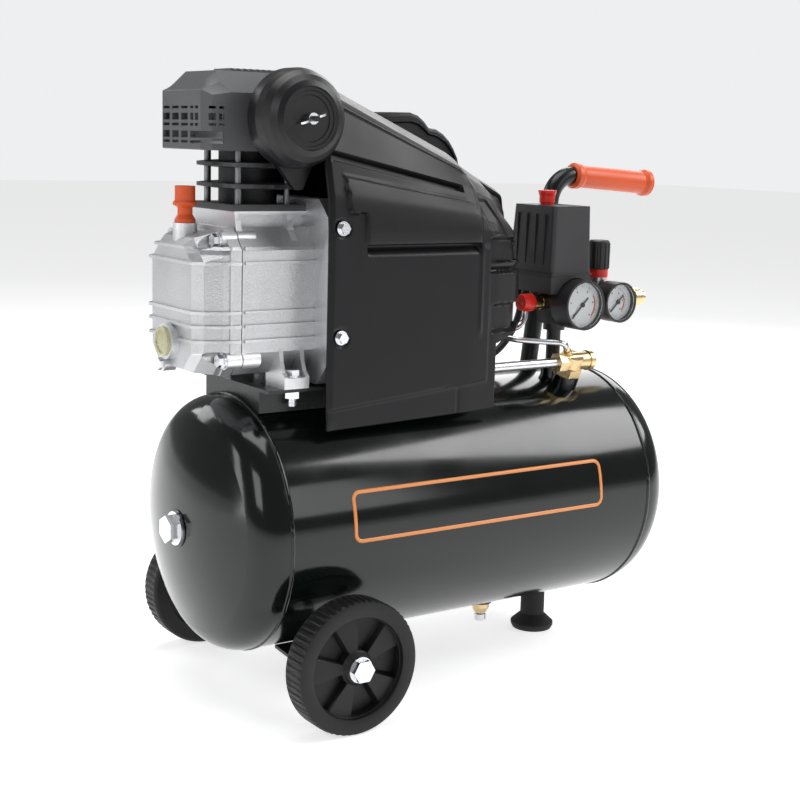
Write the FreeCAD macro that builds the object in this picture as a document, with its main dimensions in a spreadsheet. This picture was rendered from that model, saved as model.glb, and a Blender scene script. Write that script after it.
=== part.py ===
import FreeCAD, Part
import Sketcher
import math
import os

# A 24 litre direct-drive piston air compressor on a horizontal receiver.
# Millimetres, +Z up.  The row origin is on the ground under the middle of the machine.
# Positions below are measured from the tank's own middle; tank_x carries them to the origin.
# The receiver runs along X: pump at -X, handle and outlet at +X, gauges facing -Y.

SIZES = {
    "tank_x": -23.0,
    "tank_height": 170.0,
    "tank_radius": 123.0,
    "tank_half": 218.0,
    "tank_wall": 2.5,
    "crown_radius": 265.0,
    "knuckle_radius": 35.0,
    "foot_x": 168.0,
    "foot_radius": 23.5,
    "wheel_x": -167.0,
    "wheel_radius": 63.0,
    "wheel_width": 27.0,
    "wheel_inner": 133.0,
    "axle_radius": 6.0,
    "running_gap": 0.05,
    "fold_gauge": 3.0,
    "saddle_half": 69.0,
    "saddle_top": 306.0,
    "pump_x": -198.0,
    "crank_height": 390.0,
    "crank_throw": 18.0,
    "rod_span": 82.0,
    "bore_radius": 21.0,
    "barrel_radius": 27.0,
    "cylinder_foot": 466.0,
    "head_foot": 527.0,
    "shaft_radius": 8.5,
    "stator_radius": 70.0,
    "stator_bore": 38.5,
    "rotor_radius": 37.7,
    "case_half": 58.0,
    "shroud_half": 90.0,
    "shroud_wall": 3.0,
    "hood_half": 46.0,
    "hood_wall": 2.5,
    "filter_x": -189.0,
    "filter_height": 549.0,
    "filter_radius": 44.0,
    "manifold_x": 158.0,
    "manifold_y": -27.0,
    "port_height": 369.0,
    "regulator_x": 217.0,
    "large_gauge": 26.0,
    "small_gauge": 21.5,
    "handle_y": 27.0,
    "handle_radius": 9.5,
    "valve_x": 157.0,
    "valve_tilt": 22.5,
    "discharge_radius": 5.0,
    "unloader_radius": 3.0,
    "cable_radius": 3.8,
}

X_AXIS = FreeCAD.Vector(1, 0, 0)
Y_AXIS = FreeCAD.Vector(0, 1, 0)
Z_AXIS = FreeCAD.Vector(0, 0, 1)
DIRECTIONS = {"+X": X_AXIS, "-X": -X_AXIS, "+Y": Y_AXIS, "-Y": -Y_AXIS, "+Z": Z_AXIS, "-Z": -Z_AXIS}

doc = FreeCAD.newDocument("AirCompressor")


# ---- the driving dimensions -------------------------------------------------------------

class Size:
    """A number together with the spreadsheet expression that gives it."""

    def __init__(self, value, text):
        self.value = value
        self.text = text

    def __float__(self):
        return self.value

    def __neg__(self):
        return Size(-self.value, f"(0 - {self.text})")

    def __add__(self, other):
        other = as_size(other)
        return Size(self.value + other.value, f"({self.text} + {other.text})")

    def __sub__(self, other):
        other = as_size(other)
        return Size(self.value - other.value, f"({self.text} - {other.text})")

    def __mul__(self, other):
        other = as_size(other)
        return Size(self.value * other.value, f"({self.text} * {other.text})")

    def __radd__(self, other):
        return as_size(other) + self

    def __rsub__(self, other):
        return as_size(other) - self

    def __rmul__(self, other):
        return as_size(other) * self


def as_size(item):
    """Any plain number becomes a Size whose expression is the number itself."""
    if isinstance(item, Size):
        return item
    return Size(float(item), f"({float(item)})")


class Sheet:
    """The spreadsheet of driving dimensions, read by name."""

    def __init__(self, cells):
        self.cells = cells
        sheet = doc.addObject("Spreadsheet::Sheet", "sizes")
        for row, (name, value) in enumerate(cells.items(), start=1):
            sheet.set(f"A{row}", name)
            sheet.set(f"B{row}", str(value))
            sheet.setAlias(f"B{row}", name)
        doc.recompute()

    def __getattr__(self, name):
        return Size(self.cells[name], f"sizes.{name}")


S = Sheet(SIZES)


def bind(thing, path, amount):
    """Give a property its number, and bind it to the sheet when it comes from there."""
    if isinstance(amount, Size):
        thing.setExpression(path, amount.text)
    else:
        setattr(thing, path, float(amount))


def place(thing, at, axis="+Z", roll=0.0):
    """Put a thing at a point measured from the tank's middle, its own Z along an axis."""
    turn = FreeCAD.Rotation(Z_AXIS, DIRECTIONS[axis]).multiply(FreeCAD.Rotation(Z_AXIS, roll))
    where = (S.tank_x + at[0], as_size(at[1]), as_size(at[2]))
    thing.Placement = FreeCAD.Placement(FreeCAD.Vector(*[float(c) for c in where]), turn)
    for name, amount in zip("xyz", where):
        thing.setExpression("Placement.Base." + name, amount.text)
    return thing


# ---- solids ------------------------------------------------------------------------------

def cylinder(name, radius, height, at, axis="+Z"):
    thing = doc.addObject("Part::Cylinder", name)
    bind(thing, "Radius", radius)
    bind(thing, "Height", height)
    return place(thing, at, axis)


def hexagon(name, corner_radius, height, at, axis="+Z", roll=0.0):
    thing = doc.addObject("Part::Prism", name)
    thing.Polygon = 6
    bind(thing, "Circumradius", corner_radius)
    bind(thing, "Height", height)
    return place(thing, at, axis, roll)


def block(name, across, deep, tall):
    """A box between two limits along X, Y and Z."""
    thing = doc.addObject("Part::Box", name)
    limits = [[as_size(low), as_size(high)] for low, high in (across, deep, tall)]
    for side, (low, high) in zip(("Length", "Width", "Height"), limits):
        bind(thing, side, high - low)
    return place(thing, [low for low, high in limits])


def fuse(name, parts):
    thing = doc.addObject("Part::MultiFuse", name)
    thing.Shapes = parts
    thing.Refine = True
    return thing


def cut(name, base, tools):
    thing = doc.addObject("Part::Cut", name)
    thing.Base = base
    thing.Tool = tools[0] if len(tools) == 1 else fuse(name + "_tools", tools)
    thing.Refine = True
    return thing


def common(name, parts):
    thing = doc.addObject("Part::MultiCommon", name)
    thing.Shapes = parts
    return thing


def group(name, parts):
    """Several separate solids that share one node."""
    thing = doc.addObject("Part::Compound", name)
    thing.Links = parts
    return thing


def feature(name, shape):
    """A shape made with Part's own functions, in the tank's frame."""
    thing = doc.addObject("Part::Feature", name)
    thing.Shape = shape
    thing.setExpression("Placement.Base.x", S.tank_x.text)
    return thing


def origin_plane(body, role):
    for plane in body.Origin.OriginFeatures:
        if plane.Role == role:
            return plane
    raise ValueError(role)


def outline(body, name, points, role):
    """A closed sketch through points; each coordinate from the sheet becomes a bound constraint."""
    sketch = body.newObject("Sketcher::SketchObject", name)
    sketch.AttachmentSupport = [(origin_plane(body, role), "")]
    sketch.MapMode = "FlatFace"
    corners = [FreeCAD.Vector(float(u), float(v), 0) for u, v in points]
    count = len(corners)
    for index in range(count):
        sketch.addGeometry(Part.LineSegment(corners[index], corners[(index + 1) % count]), False)
    for index in range(count):
        sketch.addConstraint(Sketcher.Constraint("Coincident", index, 2, (index + 1) % count, 1))
    for index, point in enumerate(points):
        for kind, amount in zip(("DistanceX", "DistanceY"), point):
            if isinstance(amount, Size) and abs(float(amount)) > 0:
                number = sketch.addConstraint(Sketcher.Constraint(kind, -1, 1, index, 1, float(amount)))
                sketch.setExpression(f"Constraints[{number}]", amount.text)
    return sketch


def turned(name, profile, at, axis="+Z"):
    """A turned piece: a closed profile of (radius, height) points spun about its own Z."""
    body = doc.addObject("PartDesign::Body", name)
    sketch = outline(body, name + "_profile", profile, "XZ_Plane")
    spin = body.newObject("PartDesign::Revolution", name + "_spin")
    spin.Profile = sketch
    spin.ReferenceAxis = (sketch, ["V_Axis"])
    spin.Angle = 360.0
    sketch.Visibility = False
    return place(body, at, axis)


def padded(name, points, low, high, role="YZ_Plane"):
    """A flat outline carried from one limit to the other, along the plane's normal."""
    body = doc.addObject("PartDesign::Body", name)
    sketch = outline(body, name + "_outline", points, role)
    pad = body.newObject("PartDesign::Pad", name + "_pad")
    pad.Profile = sketch
    bind(pad, "Length", as_size(high) - as_size(low))
    if role == "YZ_Plane":
        return place(body, (low, 0, 0))
    if role == "XZ_Plane":
        pad.Reversed = True
        return place(body, (0, low, 0))
    return place(body, (0, 0, low))


# ---- shapes that need Part's own functions -----------------------------------------------

def rounded_path(name, points, limit=1e9):
    """Straight runs joined by tangent arcs, each as large as its two runs allow; prints the arcs' radii."""
    radii = []
    corners = [FreeCAD.Vector(*[float(c) for c in point]) for point in points]
    edges = []
    start = corners[0]
    for before, corner, after in zip(corners, corners[1:], corners[2:]):
        back = (before - corner)
        ahead = (after - corner)
        half_turn = (math.pi - back.getAngle(ahead)) / 2
        setback = 0.45 * min(back.Length, ahead.Length)
        radius = min(setback / math.tan(half_turn), limit)
        radii.append(round(radius, 1))
        setback = radius * math.tan(half_turn)
        back.normalize()
        ahead.normalize()
        enter = corner + back * setback
        leave = corner + ahead * setback
        inward = back + ahead
        inward.normalize()
        middle = corner + inward * (radius / math.cos(half_turn) - radius)
        if (enter - start).Length > 1e-6:
            edges.append(Part.LineSegment(start, enter).toShape())
        edges.append(Part.Arc(enter, middle, leave).toShape())
        start = leave
    edges.append(Part.LineSegment(start, corners[-1]).toShape())
    print(name, "bend radii", radii)
    return Part.Wire(edges)


def pipe_along(path, radius):
    """A round bar along a path."""
    first = path.Edges[0]
    start = first.valueAt(first.FirstParameter)
    ring = Part.Wire(Part.makeCircle(float(radius), start, first.tangentAt(first.FirstParameter)))
    return path.makePipeShell([ring], True, True)


def rounded_polygon(points, radius):
    """A closed wire through 3-D points with every corner rounded to the same radius."""
    corners = [FreeCAD.Vector(*[float(c) for c in point]) for point in points]
    count = len(corners)
    edges = []
    ends = []
    for index, corner in enumerate(corners):
        back = corners[index - 1] - corner
        ahead = corners[(index + 1) % count] - corner
        half_turn = (math.pi - back.getAngle(ahead)) / 2
        setback = radius * math.tan(half_turn)
        back.normalize()
        ahead.normalize()
        inward = back + ahead
        inward.normalize()
        middle = corner + inward * (radius / math.cos(half_turn) - radius)
        ends.append((corner + back * setback, middle, corner + ahead * setback))
    for index in range(count):
        enter, middle, leave = ends[index]
        edges.append(Part.Arc(enter, middle, leave).toShape())
        edges.append(Part.LineSegment(leave, ends[(index + 1) % count][0]).toShape())
    return Part.Wire(edges)


def skinned(wires):
    """A closed solid with straight rulings from wire to wire."""
    return Part.makeLoft(wires, True, True)


def bar(radius, low, high):
    """A plain round bar between two points, for use as a cutting tool."""
    start = FreeCAD.Vector(*[float(c) for c in low])
    end = FreeCAD.Vector(*[float(c) for c in high])
    return Part.makeCylinder(float(radius), (end - start).Length, start, end - start)


# ---- receiver, feet and wheels -----------------------------------------------------------

def dish_profile(inset):
    """Half of the tank's meridian, from the left pole over the top to the right pole."""
    crown = float(S.crown_radius) - inset
    knuckle = float(S.knuckle_radius) - inset
    radius = float(S.tank_radius) - inset
    half = float(S.tank_half)
    seat = radius - knuckle
    reach = math.sqrt((crown - knuckle) ** 2 - seat ** 2)
    pole = half - reach + crown
    lean = math.asin(seat / (crown - knuckle))
    edges = []
    for side in (-1, 1):
        centre = side * (half - reach)
        joint = FreeCAD.Vector(centre + side * crown * math.cos(lean), 0, crown * math.sin(lean))
        middle = FreeCAD.Vector(centre + side * crown * math.cos(lean / 2), 0, crown * math.sin(lean / 2))
        tip = FreeCAD.Vector(side * pole, 0, 0)
        rim = FreeCAD.Vector(side * half, 0, radius)
        bulge = (math.pi / 2 + lean) / 2
        turn = FreeCAD.Vector(side * (half + knuckle * math.cos(bulge)), 0, seat + knuckle * math.sin(bulge))
        pair = [Part.Arc(tip, middle, joint).toShape(), Part.Arc(joint, turn, rim).toShape()]
        edges += pair if side < 0 else pair[::-1]
    edges.insert(2, Part.LineSegment(FreeCAD.Vector(-half, 0, radius), FreeCAD.Vector(half, 0, radius)).toShape())
    return edges, pole


def tank_solid(inset):
    edges, pole = dish_profile(inset)
    axis = Part.LineSegment(FreeCAD.Vector(-pole, 0, 0), FreeCAD.Vector(pole, 0, 0)).toShape()
    face = Part.Face(Part.Wire(Part.__sortEdges__(edges + [axis])))
    solid = face.revolve(FreeCAD.Vector(0, 0, 0), X_AXIS, 360)
    solid.translate(FreeCAD.Vector(0, 0, float(S.tank_height)))
    return solid


def valve_axis():
    """Where the check valve's boss leaves the tank, and which way it points."""
    tilt = math.radians(float(S.valve_tilt))
    normal = FreeCAD.Vector(0, -math.sin(tilt), math.cos(tilt))
    foot = FreeCAD.Vector(float(S.valve_x), 0, float(S.tank_height)) + normal * float(S.tank_radius)
    return foot, normal


END_BOSS = 18.0
PLUG_SHANK = 10.0
DRAIN_X = 94.0
VALVE_SHANK = 9.0
NIPPLE_RADIUS = 7.5


def tank_shell():
    """The receiver: a cylinder with two dished ends, its welded bosses and their tapped holes."""
    height = float(S.tank_height)
    outside = tank_solid(0.0)
    pole = dish_profile(0.0)[1]
    foot, normal = valve_axis()
    nipple = (float(S.manifold_x), float(S.manifold_y))
    bosses = [
        bar(END_BOSS, (-pole - 0.5, 0, height), (-pole + 12, 0, height)),
        bar(12, (DRAIN_X, 0, 40), (DRAIN_X, 0, 56)),
        bar(14, foot - normal * 8, foot + normal * 13),
        bar(12, nipple + (280,), nipple + (299,)),
        bar(8.9, (float(S.foot_x), 0, 12), (float(S.foot_x), 0, 52)),
    ]
    for side in (-1, 1):
        seam = Part.makeTorus(float(S.tank_radius) - 0.4, 1.6, FreeCAD.Vector(side * 216, 0, height), X_AXIS)
        bosses.append(seam)
    solid = outside.multiFuse(bosses).cut(tank_solid(float(S.tank_wall)))
    holes = [
        bar(PLUG_SHANK + 0.05, (-pole - 5, 0, height), (-pole + 40, 0, height)),
        bar(6.05, (DRAIN_X, 0, 30), (DRAIN_X, 0, 70)),
        bar(VALVE_SHANK + 0.05, foot - normal * 20, foot + normal * 20),
        bar(NIPPLE_RADIUS + 0.05, nipple + (270,), nipple + (310,)),
    ]
    return feature("tank_shell", solid.cut(Part.makeCompound(holes)))


def end_plug():
    """The hexagon plug and its washer in the middle of the pump-side dish."""
    face = -dish_profile(0.0)[1] - 0.5
    head = hexagon("plug_head", 13.5, 9, (face - 2.2, 0, S.tank_height), "-X")
    shank = cylinder("plug_shank", PLUG_SHANK, 16, (face + 12, 0, S.tank_height), "-X")
    washer = cut("end_washer", cylinder("washer_disc", 16, 2.1, (face - 0.05, 0, S.tank_height), "-X"),
                 [cylinder("washer_hole", PLUG_SHANK + 0.1, 4, (face + 1, 0, S.tank_height), "-X")])
    return [group("end_plug", [fuse("end_plug_screw", [head, shank]), washer])]


def saddle_bracket():
    """A folded steel saddle, welded to the tank, that carries the pump and motor."""
    half = S.saddle_half
    top = S.saddle_top
    under = top - S.fold_gauge
    leg = 52.5
    inner = leg - S.fold_gauge
    foot = 282.7
    profile = [(-half, under), (-half, top), (half, top), (half, under), (leg, under), (leg, foot), (inner, foot),
               (inner, under), (-inner, under), (-inner, foot), (-leg, foot), (-leg, under)]
    plate = padded("saddle_fold", profile, -213, -85)
    holes = [cylinder(f"saddle_hole_{index}", 4.2, 12, (x, y, 298)) for index, (x, y) in enumerate(pump_bolts())]
    end = cut("saddle_end", block("saddle_end_sheet", (-213, -210), (-inner - 0.5, inner + 0.5), (foot, under + 0.5)),
              [cylinder("saddle_end_room", S.tank_radius + 0.05, 20, (-220, 0, S.tank_height), "+X")])
    return [cut("saddle_bracket", fuse("saddle_welded", [plate, end]), holes)]


def wheel_brackets():
    """Two bent plates under the tank, each with an upright ear for an axle bolt."""
    ears = []
    for label, side in (("near", -1), ("far", 1)):
        profile = [(40, 53), (122, 45.5), (122, 92), (125, 92), (125, 42), (40, 50)]
        plate = padded(f"{label}_ear_plate", [(side * u, v) for u, v in profile], -186, -148)
        hole = cylinder(f"{label}_ear_hole", S.axle_radius + 0.1, 10, (S.wheel_x, side * 118, S.wheel_radius),
                        "+Y" if side > 0 else "-Y")
        ears.append(cut(f"{label}_ear", plate, [hole]))
    return [group("wheel_brackets", ears)]


def foot_parts():
    """A flared rubber foot, pushed over the steel stem under the tank."""
    flare = S.foot_radius
    profile = [(0, 0), (flare - 2, 0), (flare, 4), (flare, 7), (13.2, 16.5), (13.2, 46.4), (9, 46.4), (9, 12), (0, 12)]
    return [turned("rubber_foot", profile, (S.foot_x, 0, 0))]


def wheel(label, side):
    """A moulded wheel: a ribbed rim, a dished web with wedge pockets, and a hub."""
    axis = "-Y" if side < 0 else "+Y"
    at = (S.wheel_x, side * S.wheel_inner, S.wheel_radius)
    width = S.wheel_width
    bore = S.axle_radius + S.running_gap
    rim = S.wheel_radius
    profile = [(bore, 0), (17, 0), (17, 8), (49, 8), (49, 0), (rim - 2, 0), (rim, 2), (rim, width - 2), (rim - 2, width),
               (51, width), (48, width - 4), (16, width - 4), (13, width), (bore, width)]
    body = turned(f"{label}_wheel_turned", profile, at, axis)
    pockets = []
    for number in range(4):
        angle = math.radians(90 * number + 20)
        wedge = Part.makePolygon([FreeCAD.Vector(17, 0, 0), FreeCAD.Vector(46, -15, 0), FreeCAD.Vector(46, 15, 0),
                                  FreeCAD.Vector(17, 0, 0)])
        solid = Part.Face(wedge).extrude(FreeCAD.Vector(0, 0, 9))
        solid.rotate(FreeCAD.Vector(0, 0, 0), Z_AXIS, math.degrees(angle))
        pockets.append(solid)
    tool = doc.addObject("Part::Feature", f"{label}_wheel_wedges")
    tool.Shape = Part.makeCompound(pockets)
    place(tool, (S.wheel_x, side * (S.wheel_inner + 13), S.wheel_radius), axis)
    return cut(f"wheel_{label}", body, [tool])


def axle_parts():
    """Shoulder bolts through the wheels, and the nuts that hold them to the ears."""
    bolts = []
    nuts = []
    for label, side in (("near", -1), ("far", 1)):
        axis = "-Y" if side < 0 else "+Y"
        outer = S.wheel_inner + S.wheel_width
        shank = cylinder(f"{label}_axle_shank", S.axle_radius, outer - 113, (S.wheel_x, side * 113.5, S.wheel_radius), axis)
        washer = cylinder(f"{label}_axle_washer", 12, 1.8, (S.wheel_x, side * (outer + 0.4), S.wheel_radius), axis)
        head = hexagon(f"{label}_axle_head", 11, 6.5, (S.wheel_x, side * (outer + 2), S.wheel_radius), axis)
        bolts.append(fuse(f"{label}_axle_bolt", [shank, washer, head]))
        for place_name, low in (("outer", 125.1), ("inner", 115.0)):
            nut = hexagon(f"{label}_{place_name}_nut_body", 11, 6.8, (S.wheel_x, side * low, S.wheel_radius), axis)
            hole = cylinder(f"{label}_{place_name}_nut_hole", S.axle_radius + 0.05, 12,
                            (S.wheel_x, side * (low - 2), S.wheel_radius), axis)
            nuts.append(cut(f"{label}_{place_name}_nut", nut, [hole]))
    return [group("axle_bolts", bolts + nuts)]


def drain_parts():
    """The drain valve under the tank: a screwed body and the knurled screw that opens it."""
    body = turned("drain_valve_body", [(3.1, 28.5), (6, 28.5), (9.5, 35), (9.5, 39.9), (6, 39.9), (6, 52), (3.1, 52)],
                  (DRAIN_X, 0, 0))
    screw = turned("drain_screw", [(0, 20), (5.5, 20), (6.2, 21), (6.2, 27), (5.5, 28.2), (3.0, 28.2), (3.0, 46),
                                   (0, 46)], (DRAIN_X, 0, 0))
    return [body, screw]


# ---- pump ----------------------------------------------------------------------------------

def pump_bolts():
    """Centres of the four bolts that hold the pump to the saddle, outside its legs."""
    return [(x, side * 60.5) for x in (-183.0, -112.0) for side in (-1, 1)]


def case_outline(grow=0.0):
    """The crankcase seen along the shaft: flat sides with sloping shoulders."""
    wide = S.case_half + grow
    return [(-wide + 20, 318 - grow), (wide - 20, 318 - grow), (wide, 340), (wide, 432), (wide - 16, 452 + grow),
            (-wide + 16, 452 + grow), (-wide, 432), (-wide, 340)]


CAVITY = [(-24, 323), (24, 323), (46, 346), (46, 424), (28, 446), (-28, 446), (-46, 424), (-46, 346)]


def cover_bolts_at():
    return [(side * y, z) for y, z in ((42.0, 441.0), (53.0, 334.0)) for side in (-1, 1)]


RIB_HEIGHTS = (434.0, 421.0, 377.0, 364.5, 351.0)


def stud_centres():
    return [(x, side * 30.0) for x in (-224.0, -174.0) for side in (-1, 1)]


def ribs(name, body_maker, across):
    """Thin ledges that run round a casting, a little proud of its sides."""
    proud = body_maker(name + "_proud", 2.4)
    slabs = [block(f"{name}_slab_{index}", across, (-70, 70), (height - 1.4, height + 1.4))
             for index, height in enumerate(RIB_HEIGHTS)]
    return common(name, [proud, fuse(name + "_slabs", slabs)])


def crankcase():
    """The cast crankcase with its cylinder seat, motor bell and feet."""
    def body_maker(name, grow):
        return padded(name, case_outline(grow), -234, -158)

    axis_at = S.crank_height
    shell = body_maker("case_body", 0.0)
    neck = fuse("case_neck", [block("neck_core", (-233, -160), (-34, 34), (440, S.cylinder_foot)),
                              block("neck_flange", (-234, -160), (-42, 42), (S.cylinder_foot - 3, S.cylinder_foot))])
    neck_ribs = [padded(f"neck_rib_{index}", [(-52, 440), (-45, 449), (-42, 458), (-42, 466), (42, 466), (42, 458),
                                              (45, 449), (52, 440)], x, x + 5.5)
                 for index, x in enumerate((-233.5, -180.0))]
    bell_points = [(-85, 330), (-65, 308), (65, 308), (85, 330), (85, 458), (65, 478), (-65, 478), (-85, 458)]
    bell = padded("case_bell", bell_points, -160, -142)
    register = cylinder("case_register", 75, 16, (-144, 0, axis_at), "+X")
    pads = []
    gusset = [(34, 312), (69, 312), (69, 317), (64, 321), (60, 330), (57.5, 346), (34, 346)]
    for index, (x, y) in enumerate(pump_bolts()):
        side = 1 if y > 0 else -1
        low, high = sorted((side * 34, side * 69))
        pads.append(block(f"case_pad_{index}", (x - 13, x + 13), (low, high), (S.saddle_top, 316)))
        if x < -150:
            for end, start in enumerate((x - 13, x + 9)):
                wall = [(side * u, v) for u, v in gusset]
                pads.append(padded(f"case_gusset_{index}_{end}", wall, start, start + 4))
        else:
            web = sorted((side * 34, side * 52))
            pads.append(block(f"case_web_{index}", (-144, -122), web, (308, 335)))
    bosses = [cylinder(f"case_boss_{index}", 8, 18, (-234, y, z), "+X")
              for index, (y, z) in enumerate(cover_bolts_at())]
    casting = fuse("case_casting", [shell, neck, bell, register, ribs("case_ribs", body_maker, (-232, -159))]
                   + neck_ribs + pads + bosses)
    cavity = padded("case_cavity", CAVITY, -236, -167)
    hollow = [
        cavity,
        cylinder("case_bore", S.barrel_radius - 1, 60, (S.pump_x, 0, 430)),
        cylinder("case_bearing_seat", 20.05, 12.1, (-167.1, 0, axis_at), "+X"),
        cylinder("case_shaft_hole", 14, 40, (-170, 0, axis_at), "+X"),
        cylinder("case_bell_room", 62, 30, (-152, 0, axis_at), "+X"),
        cylinder("case_stator_seat", S.stator_radius + 0.05, 30, (-136, 0, axis_at), "+X"),
    ]
    for index, (x, y) in enumerate(pump_bolts()):
        hollow.append(cylinder(f"case_foot_hole_{index}", 4.2, 20, (x, y, 300)))
        hollow.append(cylinder(f"case_spot_face_{index}", 8.6, 9, (x, y, 316)))
    for index, (y, z) in enumerate(cover_bolts_at()):
        hollow.append(cylinder(f"case_cover_hole_{index}", 3.1, 22, (-240, y, z), "+X"))
    for index, (x, y) in enumerate(stud_centres()):
        hollow.append(cylinder(f"case_stud_hole_{index}", 3.25, 20, (x, y, 450)))
    for index, (side, z) in enumerate(shroud_screws_at()):
        hollow.append(cylinder(f"case_shroud_hole_{index}", 2.6, 20, (SHROUD_SCREW_X, side * 70, z),
                               "+Y" if side > 0 else "-Y"))
    return [cut("crankcase", casting, hollow)]


def crankcase_gasket():
    """A thin seal between the crankcase and its cover."""
    ring = padded("gasket_sheet", case_outline(), -235.0, -234.05)
    room = padded("gasket_room", CAVITY, -236, -233)
    ears = [cylinder(f"gasket_ear_{index}", 8, 0.95, (-235, y, z), "+X") for index, (y, z) in enumerate(cover_bolts_at())]
    holes = [cylinder(f"gasket_hole_{index}", 3.1, 4, (-237, y, z), "+X")
             for index, (y, z) in enumerate(cover_bolts_at())]
    return [cut("crankcase_gasket", fuse("gasket_blank", [ring] + ears), [room] + holes)]


OIL_FILL_X = -262.0
GLASS_HEIGHT = 347.0


def cover_front(name, grow):
    """The cover's drawn-in front, from its flange to the flat face at -X."""
    def ring(x, wide, low, high, slope):
        return Part.makePolygon([FreeCAD.Vector(x, u, v) for u, v in (
            (-wide + slope, low), (wide - slope, low), (wide, low + slope), (wide, high - slope),
            (wide - slope, high), (-wide + slope, high), (-wide, high - slope), (-wide, low + slope),
            (-wide + slope, low))])
    half = float(S.case_half) + grow
    body = skinned([ring(-236.0, half, 318 - grow, 450 + grow, 20),
                    ring(-252.0, half - 2, 319 - grow, 447 + grow, 20),
                    ring(-268.0, half - 9, 321 - grow, 442 + grow, 20),
                    ring(-275.5 - grow, half - 18, 324 - grow, 436 + grow, 16)])
    return feature(name, body)


def crankcase_cover():
    """The front cover, with the filler boss, the sight glass boss and its ribs."""
    front = cover_front("cover_front", 0.0)
    flange = padded("cover_flange", case_outline(), -246, -235.05)
    bosses = [cylinder(f"cover_boss_{index}", 8, 15, (-250, y, z), "+X")
              for index, (y, z) in enumerate(cover_bolts_at())]
    filler = cylinder("cover_filler", 11, 30, (OIL_FILL_X, 0, 424))
    glass_boss = cylinder("cover_glass_boss", 16.5, 12, (-283, 0, GLASS_HEIGHT), "+X")
    drain_boss = cylinder("cover_drain_boss", 7, 12, (-281, 9, 325), "+X")
    casting = fuse("cover_casting", [front, flange, filler, glass_boss, drain_boss,
                                     ribs("cover_ribs", cover_front, (-280, -236))] + bosses)
    inside = [(-24, 325), (24, 325), (40, 346), (40, 420), (26, 437), (-26, 437), (-40, 420), (-40, 346)]
    hollow = [
        padded("cover_room", inside, -269, -234),
        cylinder("cover_filler_hole", 7.05, 40, (OIL_FILL_X, 0, 430)),
        cylinder("cover_glass_seat", 13.5, 5.1, (-284, 0, GLASS_HEIGHT), "+X"),
        cylinder("cover_glass_hole", 10, 30, (-284, 0, GLASS_HEIGHT), "+X"),
        cylinder("cover_drain_hole", 4.05, 30, (-284, 9, 325), "+X"),
    ]
    for index, (y, z) in enumerate(cover_bolts_at()):
        hollow.append(cylinder(f"cover_bolt_hole_{index}", 3.1, 60, (-290, y, z), "+X"))
        hollow.append(cylinder(f"cover_bolt_room_{index}", 8.2, 40, (-290.2, y, z), "+X"))
    return [cut("crankcase_cover", casting, hollow)]


def cover_fasteners():
    """Flanged hexagon bolts round the cover, the oil drain screw, and the shroud's four screws."""
    bolts = []
    for index, (y, z) in enumerate(cover_bolts_at()):
        washer = cylinder(f"cover_washer_{index}", 7.2, 1.5, (-251.7, y, z), "+X")
        head = hexagon(f"cover_head_{index}", 5.8, 5.2, (-256.7, y, z), "+X")
        shank = cylinder(f"cover_shank_{index}", 3.0, 34, (-252, y, z), "+X")
        bolts.append(fuse(f"cover_bolt_{index}", [washer, head, shank]))
    drain = fuse("oil_drain_screw", [hexagon("drain_screw_head", 6, 4, (-285.1, 9, 325), "+X"),
                                     cylinder("drain_screw_shank", 4, 11, (-282, 9, 325), "+X")])
    return [group("flange_screws", bolts + [drain] + shroud_screws())]


def sight_glass():
    """A round oil level window pressed into the cover."""
    profile = [(0, 0), (13.4, 0), (13.4, 6.8), (12.4, 7.6), (10.6, 7.6), (10.2, 6.2), (6, 6.9), (0, 7.1)]
    return [turned("sight_glass", profile, (-278.95, 0, GLASS_HEIGHT), "-X")]


def oil_plug():
    """The breather plug: a waisted cap on a stub that drops into the filler boss."""
    profile = [(0, -10), (7, -10), (7, 0.2), (9.5, 0.2), (9.5, 3), (6.8, 7.5), (6.8, 13.5), (11, 16), (11, 18.5),
               (9.2, 20), (9.2, 33), (7.2, 33), (7.2, 24), (0, 24)]
    return [turned("oil_plug", profile, (OIL_FILL_X, 0, 454))]


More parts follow.
